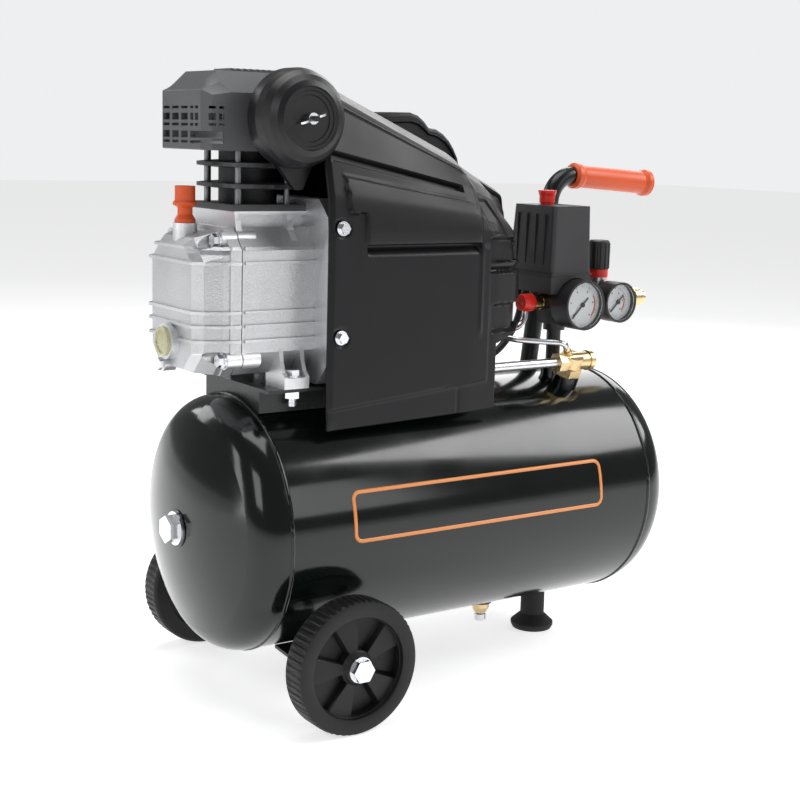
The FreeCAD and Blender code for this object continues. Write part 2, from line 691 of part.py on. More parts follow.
def cylinder_parts():
    """The finned iron cylinder, its valve plate and head, and the studs that clamp them."""
    foot = S.cylinder_foot
    head = S.head_foot
    x = S.pump_x
    plates = [block("cylinder_base_fin", (-236, -160), (-42, 42), (foot + 0.05, foot + 6))]
    for index, height in enumerate((486.5, 505.5)):
        points = [(-41, -3), (-36, -38), (-3, -44), (3, -44), (36, -38), (41, -3), (41, 3), (36, 38), (3, 44), (-3, 44),
                  (-36, 38), (-41, 3)]
        corner = [FreeCAD.Vector(-198 + 0.94 * u, v, height) for u, v in points]
        plate = Part.Face(rounded_polygon(corner, 2.0)).extrude(FreeCAD.Vector(0, 0, 3.2))
        plates.append(feature(f"cylinder_fin_{index}", plate))
    barrel = cylinder("cylinder_barrel", S.barrel_radius, head - foot - 4.05, (x, 0, foot + 0.05))
    top = block("cylinder_top", (-234, -162), (-38, 38), (head - 8, head - 4))
    studs = stud_centres()
    bores = [cylinder("cylinder_bore", S.bore_radius + 0.1, 80, (x, 0, foot - 4))]
    bores += [cylinder(f"cylinder_stud_hole_{index}", 3.5, 80, (u, v, foot - 4)) for index, (u, v) in enumerate(studs)]
    cylinder_node = cut("cylinder_barrel_fins", fuse("cylinder_casting", plates + [barrel, top]), bores)

    plate = block("valve_plate_sheet", (-234, -162), (-38, 38), (head - 3.95, head - 0.05))
    ports = [cylinder(f"valve_port_{index}", 4, 12, (x + offset, 0, head - 8)) for index, offset in enumerate((-10, 10))]
    holes = [cylinder(f"valve_stud_hole_{index}", 3.5, 12, (u, v, head - 8)) for index, (u, v) in enumerate(studs)]
    valve_plate = cut("valve_plate", plate, ports + holes)

    core = block("head_core", (-235, -161), (-40, 40), (head, head + 15))
    fins = [block(f"head_fin_{index}", (-235, -161), (y - 1.5, y + 1.5), (head + 15, head + 27))
            for index, y in enumerate((-20, -12, -4, 4, 12, 20))]
    rooms = [block("head_inlet_room", (-225, -196), (-20, 20), (head - 1, head + 12)),
             block("head_outlet_room", (-190, -171), (-20, 20), (head - 1, head + 12)),
             cylinder("head_outlet_port", S.discharge_radius + 0.1, 12, (-160, 15, head + 7), "-X"),
             cylinder("head_inlet_port", INTAKE_NECK - 2, 24, (INTAKE_X, -41, INTAKE_HEIGHT), "+Y")]
    rooms += [cylinder(f"head_stud_hole_{index}", 3.5, 40, (u, v, head - 4)) for index, (u, v) in enumerate(studs)]
    head_node = cut("cylinder_head", fuse("head_casting", [core] + fins), rooms)

    bars = [cylinder(f"stud_{index}", 3.2, 99, (u, v, 452)) for index, (u, v) in enumerate(studs)]
    nuts = []
    for index, (u, v) in enumerate(studs):
        body = hexagon(f"head_nut_body_{index}", 6.4, 6, (u, v, head + 15.05))
        nuts.append(cut(f"head_nut_{index}", body, [cylinder(f"head_nut_hole_{index}", 3.25, 12, (u, v, head + 12))]))
    return [cylinder_node, valve_plate, head_node, group("cylinder_studs", bars + nuts)]


def foot_fasteners():
    """Bolts, washers and nuts through the pump's feet and the saddle."""
    bolts = []
    nuts = []
    for index, (x, y) in enumerate(pump_bolts()):
        washer = cylinder(f"foot_washer_{index}", 7.8, 1.6, (x, y, 316.05))
        head = hexagon(f"foot_head_{index}", 7.2, 5.4, (x, y, 317.6))
        shank = cylinder(f"foot_shank_{index}", 4.1, 30, (x, y, 289))
        bolts.append(fuse(f"foot_bolt_{index}", [washer, head, shank]))
        body = hexagon(f"foot_nut_body_{index}", 7.2, 6.5, (x, y, 296.4))
        nuts.append(cut(f"foot_nut_{index}", body, [cylinder(f"foot_nut_hole_{index}", 4.15, 12, (x, y, 292))]))
    return [group("foot_bolts", bolts + nuts)]


def running_gear():
    """The piston and connecting rod, and the crankshaft that carries the rotor and fan."""
    axis_at = S.crank_height
    throw = S.crank_throw
    pin_height = axis_at + throw + S.rod_span
    x = S.pump_x
    piston_profile = [(S.bore_radius, -13), (S.bore_radius, 13), (0, 13), (0, 9), (16.5, 9), (16.5, -13)]
    piston = cut("piston", fuse("piston_casting", [
        turned("piston_skirt", piston_profile, (x, 0, pin_height)),
        cylinder("piston_boss_left", 8, 8, (x - 17.5, 0, pin_height), "+X"),
        cylinder("piston_boss_right", 8, 8, (x + 9.5, 0, pin_height), "+X")]),
        [cylinder("piston_pin_hole", 5.0, 60, (x - 30, 0, pin_height), "+X")])
    pin = cylinder("wrist_pin", 4.98, 38, (x - 19, 0, pin_height), "+X")

    width = 12.0
    rod_low = x - width / 2
    eye = cylinder("rod_small_eye", 8.5, width, (rod_low, 0, pin_height), "+X")
    big = cylinder("rod_big_eye", 14, width, (rod_low, 0, axis_at + throw), "+X")
    shank = block("rod_shank", (rod_low + 2, rod_low + width - 2), (-5, 5), (axis_at + throw, pin_height))
    rod = cut("connecting_rod", fuse("rod_forging", [eye, big, shank]), [
        cylinder("rod_pin_hole", 5.03, 30, (x - 15, 0, pin_height), "+X"),
        cylinder("rod_crank_hole", 9.0, 30, (x - 15, 0, axis_at + throw), "+X")])

    shaft = cylinder("shaft_bar", S.shaft_radius, 240, (-176, 0, axis_at), "+X")
    web = cylinder("crank_web", 13, 9, (-184, 0, axis_at + throw), "+X")
    disc = cylinder("crank_disc", 17, 9, (-184, 0, axis_at), "+X")
    weight = block("crank_weight", (-184, -175), (-17, 17), (axis_at - 34, axis_at - 4))
    pin_stub = cylinder("crank_pin", 8.5, 7.0, (-191, 0, axis_at + throw), "+X")
    crank = fuse("crankshaft", [shaft, web, disc, weight, pin_stub])
    rotor = cut("rotor", cylinder("rotor_core", S.rotor_radius, 80, (-128, 0, axis_at), "+X"),
                [cylinder("rotor_bore", S.shaft_radius + 0.02, 100, (-140, 0, axis_at), "+X")])
    blades = []
    hub = cylinder("fan_hub", 16, 22, (22, 0, axis_at), "+X")
    plate = cylinder("fan_plate", 38, 3, (22, 0, axis_at), "+X")
    for number in range(8):
        blade = Part.makeBox(20, 3, 35, FreeCAD.Vector(23, -1.5, 12))
        blade.rotate(FreeCAD.Vector(0, 0, 0), X_AXIS, 45 * number)
        blade.translate(FreeCAD.Vector(0, 0, float(axis_at)))
        blades.append(feature(f"fan_blade_{number}", blade))
    fan = cut("cooling_fan", fuse("fan_moulding", [hub, plate] + blades),
              [cylinder("fan_bore", S.shaft_radius + 0.02, 60, (10, 0, axis_at), "+X")])
    return [piston, pin, rod, crank, rotor, fan]


def bearing(name, low):
    """A sealed ball bearing, drawn as one ring round the shaft."""
    axis_at = S.crank_height
    ring = cylinder(f"{name}_ring", 20, 12, (low, 0, axis_at), "+X")
    return cut(name, ring, [cylinder(f"{name}_hole", S.shaft_radius + S.running_gap, 20, (low - 4, 0, axis_at), "+X")])


def motor_parts():
    """The stator with its two windings, the rear end shield and the run capacitor."""
    axis_at = S.crank_height
    core = cut("motor_stator", cylinder("stator_core", S.stator_radius, 88, (-135.9, 0, axis_at), "+X"),
               [cylinder("stator_hole", S.stator_bore, 100, (-140, 0, axis_at), "+X")])
    coils = []
    for label, low in (("front", -150.0), ("rear", -47.8)):
        ring = cylinder(f"{label}_coil_ring", 56, 14, (low, 0, axis_at), "+X")
        coils.append(cut(f"{label}_coil", ring, [cylinder(f"{label}_coil_hole", 42, 30, (low - 5, 0, axis_at), "+X")]))
    shield = cut("motor_end_shield", fuse("shield_casting", [
        cylinder("shield_ring", 73, 24, (-47.85, 0, axis_at), "+X"),
        cylinder("shield_hub", 26, 12, (-27.85, 0, axis_at), "+X")]), [
        cylinder("shield_room", 62, 19, (-49, 0, axis_at), "+X"),
        cylinder("shield_seat", 20.05, 14, (-28, 0, axis_at), "+X"),
        cylinder("shield_hole", 14, 60, (-50, 0, axis_at), "+X")])
    body = cylinder("capacitor_can", 17, 62, (-52, 30, 522), "+X")
    tails = [block(f"capacitor_tab_{index}", (9.9, 18), (y - 3, y + 3), (521, 522)) for index, y in enumerate((22, 38))]
    strap = block("capacitor_strap", (-44, -28), (24, 36), (463.3, 505.2))
    capacitor = group("run_capacitor", [fuse("capacitor_body", [body] + tails), strap])
    return [core, group("stator_windings", coils), shield, capacitor]


# ---- cooling shroud and air intake ---------------------------------------------------------

SHROUD_SCREW_X = -150.0
SHROUD_LEFT = -163.0
HUMP = [(-66, 537), (-55, 559), (-13, 560), (11, 545), (20, 544), (36, 534), (48, 516), (50, 500), (50, 470),
        (-66, 500)]


def shroud_screws_at():
    return [(side, z) for side in (-1, 1) for z in (453.0, 354.0)]


def shroud_sections(inset):
    """The shroud's outline at four places along the motor: (x, half width, foot, waist, ridge, crest)."""
    rows = [(SHROUD_LEFT, 90, 272, 517, 576, 592), (0, 90, 272, 482, 506, 522), (33, 88, 272, 475, 490, 503)]
    wires = []
    for x, half, foot, waist, ridge, crest in rows:
        half -= inset
        foot -= 30 if inset else 0
        points = [(half, foot), (half, waist - 14 - inset), (half - 5, waist + 4 - inset), (60 - inset, ridge - inset),
                  (35, crest - inset), (-35, crest - inset), (inset - 60, ridge - inset), (5 - half, waist + 4 - inset),
                  (-half, waist - 14 - inset), (-half, foot)]
        x -= inset if x == SHROUD_LEFT else 0
        wires.append(rounded_polygon([(x, u, v) for u, v in points], 3.5))
    return wires


def shroud_tail(inset):
    """The rounded end of the shroud round the fan."""
    rows = [(32.9, 87, 336, 464, 492), (60, 82, 344, 448, 487), (80, 60, 354, 436, 470)]
    wires = []
    for x, half, foot, waist, crest in rows:
        half -= inset
        shoulder = [(half, waist - inset), (half - 26, waist + 14 - inset), (half - 28, crest - 8 - inset),
                    (half - 40, crest - inset)]
        points = [(half, foot + inset)] + shoulder + [(-u, v) for u, v in reversed(shoulder)] + [(-half, foot + inset)]
        x += -5.0 if (inset and x < 33) else 0
        x -= inset if x == 80 else 0
        wires.append(rounded_polygon([(x, u, v) for u, v in points], 3.0))
    return wires


def hump_solid(inset):
    low, high = 2 + inset, 62 - inset
    points = [FreeCAD.Vector(x + (inset if x < -40 else -inset if x > 40 else 0), low, z - inset) for x, z in HUMP]
    return Part.Face(rounded_polygon(points, 4.0)).extrude(FreeCAD.Vector(0, high - low, 0))


def shroud():
    """The moulded shroud over the motor: a duct from the fan to the cylinder, open below."""
    wall = float(S.shroud_wall)
    outside = skinned(shroud_sections(0.0)).fuse(skinned(shroud_tail(0.0))).fuse(hump_solid(0.0))
    inside = skinned(shroud_sections(wall)).fuse(skinned(shroud_tail(wall))).fuse(hump_solid(wall))
    solid = outside.cut(inside)
    tools = []
    for row in range(7):
        height = 358 + 11 * row
        for side in (-1, 1):
            low = 4 if side > 0 else -44
            tools.append(Part.makeBox(30, 40, 6, FreeCAD.Vector(62, low, height)))
    for side, z in shroud_screws_at():
        tools.append(bar(2.8, (SHROUD_SCREW_X, side * 80, z), (SHROUD_SCREW_X, side * 96, z)))
    tools.append(bar(47.5, (float(S.filter_x), -58, float(S.filter_height)),
                     (float(S.filter_x), -120, float(S.filter_height))))
    return [feature("motor_shroud", solid.cut(Part.makeCompound(tools)))]


def shroud_screws():
    screws = []
    for index, (side, z) in enumerate(shroud_screws_at()):
        axis = "-Y" if side < 0 else "+Y"
        face = S.shroud_half + 0.1
        washer = cylinder(f"shroud_washer_{index}", 6.6, 1.4, (SHROUD_SCREW_X, side * face, z), axis)
        head = hexagon(f"shroud_head_{index}", 5.0, 5.0, (SHROUD_SCREW_X, side * (face + 1.2), z), axis)
        shank = cylinder(f"shroud_shank_{index}", 2.5, 18, (SHROUD_SCREW_X, side * (face - 17.9), z), axis)
        screws.append(fuse(f"shroud_screw_{index}", [washer, head, shank]))
    return screws


def head_cover():
    """The hood over the cylinder head, with a slotted grille at its front and a vented roof."""
    half = float(S.hood_half)
    wall = float(S.hood_wall)

    def shell(inset):
        rows = []
        for y, reach, drop in ((-46, 7, 19), (-38, 0, 10), (-29, 0, 0), (29, 0, 0), (38, 0, 10), (46, 7, 19)):
            y *= (half - inset) / half
            front = -266 + reach + inset
            roof = 589 - inset - drop
            back = -164.5 + (2 * inset)
            foot = 519.5 - (10 if inset else 0)
            brow = min(571.5, roof - 3)
            rows.append(rounded_polygon([(front, y, foot), (front, y, brow), (front + 19, y, roof),
                                         (back, y, roof), (back, y, foot)], 1.2))
        return skinned(rows)

    solid = shell(0.0).cut(shell(wall))
    tools = []
    wide = [(23, 36), (5, 18), (-13, 0)]
    narrow = [(-24, -18), (-33, -27)]
    for height, thick in ((556.5, 2.4), (548.5, 6.0), (541.5, 2.4), (533.0, 6.0), (526.5, 2.4)):
        low_edge = height - thick / 2
        for low, high in wide + (narrow if height > 540 else [(-50, -18)]):
            tools.append(Part.makeBox(12, high - low, thick, FreeCAD.Vector(-270, low, low_edge)))
        for low, high in [(-261, -255), (-252, -247)] if height > 540 else [(-262, -247)]:
            tools.append(Part.makeBox(high - low, 12, thick, FreeCAD.Vector(low, -50, low_edge)))
    for number in range(6):
        tools.append(Part.makeBox(3, 30, 10, FreeCAD.Vector(-236 + 11 * number, -15, 582)))
    tools.append(bar(INTAKE_NECK + 0.6, (INTAKE_X, -30, INTAKE_HEIGHT), (INTAKE_X, -60, INTAKE_HEIGHT)))
    return [feature("head_cover", solid.cut(Part.makeCompound(tools)))]


INTAKE_X = -203.0
INTAKE_HEIGHT = 534.5
INTAKE_NECK = 7.0


def intake_filter():
    """The round intake filter: a back plate with its elbow, an element, a cap and a wing nut."""
    x = S.filter_x
    z = S.filter_height
    big = S.filter_radius
    base = turned("filter_back", [(0, 0), (big, 0), (big, 4), (0, 4)], (x, -62, z), "-Y")
    elbow = cylinder("filter_neck", INTAKE_NECK, 23, (INTAKE_X, -40.2, INTAKE_HEIGHT), "-Y")
    gusset = Part.Face(rounded_polygon([(-212, -62, 520), (-160, -62, 520), (-176, -62, 486), (-184, -62, 486)], 2.5))
    rib = feature("filter_gusset", gusset.extrude(FreeCAD.Vector(0, 6, 0)))
    screw = cylinder("filter_stud", 2.5, 42, (x, -64, z), "-Y")
    back = cut("filter_base", fuse("filter_base_casting", [base, elbow, rib, screw]),
               [cylinder("filter_passage", INTAKE_NECK - 2, 40, (INTAKE_X, -30, INTAKE_HEIGHT), "-Y")])
    element_profile = [(28, 4.3), (36, 4.3), (36, 24), (28, 24)]
    element = turned("filter_element", element_profile, (x, -62, z), "-Y")
    outer = [(big, 4.1), (big, 14), (big - 2, 22), (big - 6, 29), (big - 11, 33.5), (28, 35.5), (27, 34), (24.5, 34),
             (24, 33), (20.5, 33), (20, 32), (3, 32)]
    inner = [(3, 30), (22, 30), (27, 32), (big - 12.5, 31), (big - 7.5, 27), (big - 4, 21), (big - 2.2, 14),
             (big - 2.2, 4.1)]
    cap = turned("filter_cap", outer + inner, (x, -62, z), "-Y")
    nut_hub = cylinder("wing_nut_hub", 5, 7, (x, -94.2, z), "-Y")
    wing_shapes = []
    for side in (-1, 1):
        wing = Part.makeCylinder(5.2, 1.8, FreeCAD.Vector(side * 8.5, 0, 5), Y_AXIS)
        wing.translate(FreeCAD.Vector(0, -0.9, 0))
        wing_shapes.append(wing)
    wings = doc.addObject("Part::Feature", "wing_nut_wings")
    wings.Shape = Part.makeCompound(wing_shapes)
    place(wings, (x, -94.2, z), "-Y", 20)
    nut = cut("wing_nut", fuse("wing_nut_casting", [nut_hub, wings]),
              [cylinder("wing_nut_hole", 2.55, 30, (x, -84, z), "-Y")])
    return [back, element, cap, nut]


# ---- air lines, pressure switch, regulator and gauges -----------------------------------------

def air_valve():
    """The check valve on the tank, with its inlet nut and the small unloader nut."""
    foot, normal = valve_axis()
    centre = foot + normal * 27
    inlet = [
        bar(VALVE_SHANK, foot - normal * 2, foot + normal * 16),
        bar(12, foot + normal * 21, foot + normal * 35),
        Part.makeCylinder(9.5, 36, centre + FreeCAD.Vector(-8, 0, 0), X_AXIS),
        Part.makeCylinder(10.6, 5, centre + FreeCAD.Vector(21, 0, 0), X_AXIS),
    ]
    side = FreeCAD.Vector(1, 0, 0)

    def hexagonal(start, along, radius, length):
        first = side if abs(along.dot(side)) < 0.5 else normal
        second = along.cross(first)
        corners = [start + first * (radius * math.cos(math.radians(60 * n)))
                   + second * (radius * math.sin(math.radians(60 * n))) for n in range(7)]
        return Part.Face(Part.makePolygon(corners)).extrude(along * length)

    inlet.append(hexagonal(foot + normal * 13.1, normal, 14.5, 9))
    inlet.append(hexagonal(centre + FreeCAD.Vector(-20, 0, 0), side, 10.5, 12))
    lean = (normal * 0.8 - side * 0.6)
    port = centre + normal * 4 - side * 3
    inlet.append(Part.makeCylinder(4.2, 12, port, lean))
    inlet.append(hexagonal(port + lean * 9, lean, 6.2, 8))
    solid = inlet[0].multiFuse(inlet[1:]).removeSplitter()
    drill = [
        Part.makeCylinder(float(S.discharge_radius) + 0.1, 14, centre + FreeCAD.Vector(-22, 0, 0), X_AXIS),
        Part.makeCylinder(float(S.unloader_radius) + 0.1, 12, port + lean * 10, lean),
    ]
    return feature("check_valve", solid.cut(Part.makeCompound(drill))), centre, port + lean * 10.2, lean


def air_lines():
    """The check valve, the discharge pipe from the head, and the unloader pipe from the switch."""
    valve, centre, nut_end, lean = air_valve()
    discharge = rounded_path("discharge_pipe", [
        centre + FreeCAD.Vector(-12.2, 0, 0), (60, centre.y, centre.z), (-30, centre.y, centre.z - 1),
        (-66, -77, 330), (-68, -76, 476), (-84, -52, 518), (-118, -8, float(S.head_foot) + 7),
        (-142, 15, float(S.head_foot) + 7), (-160 - 8, 15, float(S.head_foot) + 7)])
    unloader = rounded_path("unloader_pipe", [
        nut_end, nut_end + lean * 14, (118, -52, 331), (92, -40, 333), (86, -18, 336), (106, -12, 337),
        (130, -12, 344), (130, -12, 371.9)])
    return [
        valve,
        feature("discharge_pipe", pipe_along(discharge, S.discharge_radius)),
        feature("unloader_pipe", pipe_along(unloader, S.unloader_radius)),
    ]


def switch_group():
    """The manifold with its nipple, and the pressure switch with its unloader valve and gland."""
    x = S.manifold_x
    y = S.manifold_y
    port = S.port_height
    body = fuse("manifold_casting", [
        cylinder("tank_nipple", NIPPLE_RADIUS, 62, (x, y, 284)),
        block("manifold_block", (x - 14, x + 14), (y - 13, y + 13), (346, 379.95)),
        cylinder("manifold_foot", 11.5, 8, (x, y, 339)),
        cylinder("manifold_outlet", 8, 24, (x + 12, y, port), "+X")])
    manifold = cut("manifold", body, [
        cylinder("manifold_valve_hole", 5.05, 10, (x - 16, y, port), "+X"),
        cylinder("manifold_gauge_hole", 4.05, 8, (x + 2, y - 6, port), "-Y")])
    base = fuse("switch_base", [
        block("switch_plate", (126, 180), (-57, 16), (380, 397)),
        cylinder("switch_gland", 7, 6, (137, 4, 374.2)),
    ])
    gauge_room = cylinder("switch_gauge_room", S.large_gauge + 1, 20, (160, -45.5, port), "-Y")
    base = cut("switch_base_drilled", base, [
        cylinder("switch_gland_hole", S.cable_radius + 0.1, 20, (137, 4, 370)), gauge_room])

    def cap(inset, floor, roof):
        rows = []
        for z, half_x, half_y, shift in ((floor, 27, 36.5, 0), (roof, 25, 33, -2)):
            left, right = 153 - half_x + inset, 153 + half_x - inset
            near, far = -20.5 - half_y + shift + inset, -20.5 + half_y + shift - inset
            rows.append(rounded_polygon([(left, near, z), (right, near, z), (right, far, z), (left, far, z)],
                                        4.5 - inset))
        return skinned(rows)

    cover = cap(0.0, 397.05, 470).cut(cap(2.5, 396, 467.5))
    cover = cover.cut(bar(7.3, (147, -20, 460), (147, -20, 480)))
    cover_node = feature("switch_cover", cover)
    works = block("switch_contacts", (134, 172), (-45, 2), (397.1, 440))
    knob_profile = [(0, -24), (7, -24), (7, 2), (8.2, 2.5), (8.2, 9), (9.6, 13), (9.6, 15), (0, 15)]
    knob = turned("on_off_knob", knob_profile, (147, -20, 470))
    unloader = fuse("unloader_valve", [
        cylinder("unloader_stem", 4.5, 12, (130, -12, 367.95)),
        hexagon("unloader_nut", 6.5, 7, (130, -12, 369))])
    unloader = cut("unloader_valve_drilled", unloader,
                   [cylinder("unloader_hole", S.unloader_radius + 0.1, 6, (130, -12, 366))])
    return [manifold, group("pressure_switch", [base, works, unloader]), cover_node, knob]


def motor_cable():
    """The lead from the pressure switch to the motor."""
    path = rounded_path("motor_cable", [(137, 4, 388), (137, 4, 352), (114, 2, 320), (80, -4, 305), (44, -10, 303), (14, -16, 308),
                         (-6, -22, 325), (-23.8, -22, 325)])
    return [feature("motor_cable", pipe_along(path, S.cable_radius))]


def safety_valve():
    """The relief valve: a brass body screwed into the manifold and its red pull cap."""
    left = float(S.manifold_x) - 14
    y = S.manifold_y
    port = S.port_height
    body = fuse("safety_valve_body", [
        cylinder("safety_shank", 5, 9, (left + 8, y, port), "-X"),
        hexagon("safety_hex", 8.5, 7, (left - 0.1, y, port), "-X"),
        cylinder("safety_barrel", 7.2, 12, (left - 6, y, port), "-X"),
        cylinder("safety_stem", 3, 16, (left - 16, y, port), "-X")])
    cap = turned("safety_valve_cap", [(3.1, 0.6), (9, 0.6), (9.4, 2.5), (9.4, 9), (8.4, 15), (3.1, 15)],
                 (left - 18, y, port), "-X")
    return [body, cap]


def regulator():
    """The pressure regulator: body, red ring nut and the knob that sets the outlet pressure."""
    x = S.regulator_x
    y = S.manifold_y
    port = S.port_height
    body = cut("regulator_body", fuse("regulator_casting", [
        cylinder("regulator_can", 12.5, 34, (x, y, 353)),
        cylinder("regulator_neck", 10, 6, (x, y, 386.9)),
        cylinder("regulator_inlet", 9.5, 18, (194.1, y, port), "+X"),
        cylinder("regulator_outlet", 9, 8, (x + 8, y, port), "+X")]), [
        cylinder("regulator_inlet_hole", 6, 20, (190, y, port), "+X"),
        cylinder("regulator_outlet_hole", 5.05, 10, (x + 8, y, port), "+X"),
        cylinder("regulator_gauge_hole", 4.05, 8, (x, y - 6, port), "-Y"),
        cylinder("regulator_stem_hole", 4.6, 20, (x, y, 380))])
    ring = cut("regulator_ring", cylinder("regulator_ring_blank", 10.6, 8.4, (x, y, 393.0)),
               [cylinder("regulator_ring_hole", 4.6, 20, (x, y, 388))])
    knob = fuse("regulator_knob", [
        turned("regulator_knob_turned", [(0, 401.6), (10.8, 401.6), (11, 402), (11, 431), (9.6, 432.6), (0, 432.6)],
               (x, y, 0)),
        cylinder("regulator_stem", 4.5, 18, (x, y, 384))]
        + [cylinder(f"regulator_rib_{number}", 1.1, 27,
                    (x + 10.9 * math.cos(math.radians(30 * number)),
                     y + 10.9 * math.sin(math.radians(30 * number)), 402.5)) for number in range(12)])
    return [body, ring, knob]


NEEDLE_REST = -135.0    # degrees from straight up, where the scale starts


def gauge(name, x, front, back, height, radius, stem_end):
    """A dial gauge facing -Y: case with stem, dial, needle and window."""
    depth = back - front
    shell = turned(f"{name}_can", [(0, 0), (radius - 2, 0), (radius, 2), (radius, depth), (radius - 2.2, depth),
                                   (radius - 2.2, 6), (0, 6)], (x, back, height), "-Y")
    stem = cylinder(f"{name}_stem", 4.0, stem_end - back + 7, (x, back + (stem_end - back) + 6, height), "-Y")
    collar = cylinder(f"{name}_collar", 6.5, stem_end - back - 0.1, (x, stem_end - 0.1, height), "-Y")
    post = cylinder(f"{name}_post", 1.5, depth - 9, (x, back - 5, height), "-Y")
    case = fuse(f"{name}_case", [shell, stem, collar, post])
    face = cut(f"{name}_dial", cylinder(f"{name}_dial_disc", radius - 2.4, 1.0, (x, front + 8, height), "-Y"),
               [cylinder(f"{name}_dial_hole", 1.8, 8, (x, front + 10, height), "-Y")])
    pointer = Part.makeBox(1.4, 0.6, radius + 3, FreeCAD.Vector(float(x) - 0.7, front + 5.2, float(height) - 10))
    pointer.rotate(FreeCAD.Vector(float(x), back, float(height)), Y_AXIS, NEEDLE_REST)
    arm = feature(f"{name}_arm", Part.makeCompound([pointer]))
    boss = cylinder(f"{name}_boss", 2.4, 1.6, (x, front + 6.2, height), "-Y")
    needle = cut(f"{name}_needle", fuse(f"{name}_pointer", [arm, boss]),
                 [cylinder(f"{name}_needle_hole", 1.55, 8, (x, front + 9, height), "-Y")])
    window = cylinder(f"{name}_window", radius - 2.4, 1.5, (x, front + 2.6, height), "-Y")
    return [case, face, needle, window]


def gauges():
    large = gauge("large_gauge", 160.0, -74.0, -46.0, S.port_height, float(S.large_gauge), -40.0)
    small = gauge("small_gauge", S.regulator_x, -66.0, -43.0, S.port_height, float(S.small_gauge), -39.5)
    cases, dials, needles, windows = zip(large, small)
    return [group("gauge_cases", list(cases)), group("gauge_dials", list(dials)),
            group("gauge_windows", list(windows))] + list(needles)


def coupler():
    """The quick coupler at the outlet: a fixed socket and its sliding sleeve."""
    start = float(S.regulator_x) + 17
    y = S.manifold_y
    port = S.port_height
    body = cut("coupler_body", fuse("coupler_turned", [
        cylinder("coupler_shank", 5.0, 8, (start - 7, y, port), "+X"),
        hexagon("coupler_hex", 10, 8, (start + 0.1, y, port), "+X"),
        cylinder("coupler_barrel", 8.0, 40, (start + 8, y, port), "+X"),
        cylinder("coupler_collar", 9.2, 4, (start + 8, y, port), "+X")]), [
        cylinder("coupler_socket", 5.5, 24, (start + 26, y, port), "+X"),
        cylinder("coupler_passage", 3.0, 60, (start - 10, y, port), "+X")])
    sleeve = turned("coupler_sleeve", [(8.1, 0), (10, 0), (10.6, 1), (10.6, 8), (9.8, 9), (9.8, 14), (10.6, 15), (10.6, 23),
                                       (9.6, 24.5), (8.1, 24.5)], (start + 17.5, y, port), "+X")
    return [body, sleeve]


def handle():
    """The bent carrying handle behind the switch, and its grip."""
    y = float(S.handle_y)
    path = rounded_path("handle_tube", [(167, y, 270), (185, y, 420), (194, y, 501), (300, y, 494), (328, y, 492)], 30.0)
    bent = pipe_along(path, S.handle_radius)
    drum = Part.makeCylinder(float(S.tank_radius) + 0.1, 500, FreeCAD.Vector(-50, 0, float(S.tank_height)), X_AXIS)
    tube = feature("handle_tube", bent.cut(drum))
    end = path.Edges[-1]
    tip = end.valueAt(end.LastParameter)
    along = (FreeCAD.Vector(300, y, 494) - FreeCAD.Vector(218, y, 499.4))
    along.normalize()
    profile = [(0, 3.5), (15, 3.5), (15, -2), (12.6, -7), (12.2, -96), (14, -100), (14, -106), (11.5, -108.5),
               (9.7, -108.5), (9.7, 0.3), (0, 0.3)]
    wire = Part.makePolygon([FreeCAD.Vector(u, 0, v) for u, v in profile + profile[:1]])
    sleeve = Part.Face(wire).revolve(FreeCAD.Vector(0, 0, 0), Z_AXIS, 360)
    seat = FreeCAD.Placement(tip, FreeCAD.Rotation(Z_AXIS, along))
    return [tube, feature("handle_grip", sleeve.transformed(seat.toMatrix(), True))]


# ---- build, check and write -------------------------------------------------------------------

def build():
    parts = [tank_shell()]
    parts += end_plug()
    parts += saddle_bracket()
    parts += wheel_brackets()
    parts += foot_parts()
    parts += [wheel("near", -1), wheel("far", 1)]
    parts += axle_parts()
    parts += drain_parts()
    parts += crankcase()
    parts += crankcase_gasket()
    parts += crankcase_cover()
    parts += cover_fasteners()
    parts += sight_glass()
    parts += oil_plug()
    parts += cylinder_parts()
    parts += foot_fasteners()
    parts += running_gear()
    parts += [group("shaft_bearings", [bearing("main_bearing", -167.0), bearing("rear_bearing", -27.95)])]
    parts += motor_parts()
    parts += shroud()
    parts += head_cover()
    parts += intake_filter()
    parts += air_lines()
    parts += switch_group()
    parts += motor_cable()
    parts += safety_valve()
    parts += regulator()
    parts += gauges()
    parts += coupler()
    parts += handle()
    return parts


def check(parts):
    """Stop before anything is written if an object failed or a shape is unsound."""
    for thing in doc.Objects:
        if "Invalid" in thing.State or "Error" in thing.State:
            raise RuntimeError(f"{thing.Name} failed: {thing.State}")
    for part in parts:
        if part.Shape.isNull() or not part.Shape.isValid() or not part.Shape.Solids:
            raise RuntimeError(f"{part.Label} has no sound solid")


parts = build()
doc.recompute()
check(parts)
os.makedirs("parts", exist_ok=True)
for part in parts:
    part.Shape.exportStep(f"parts/{part.Label}.step")
box = FreeCAD.BoundBox()
for part in parts:
    box.add(part.Shape.BoundBox)
print(len(parts), "parts, box", [round(v, 1) for v in (box.XMin, box.XMax, box.YMin, box.YMax, box.ZMin, box.ZMax)])
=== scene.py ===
import math

import bmesh
import bpy
import numpy as np
from mathutils import Matrix, Vector


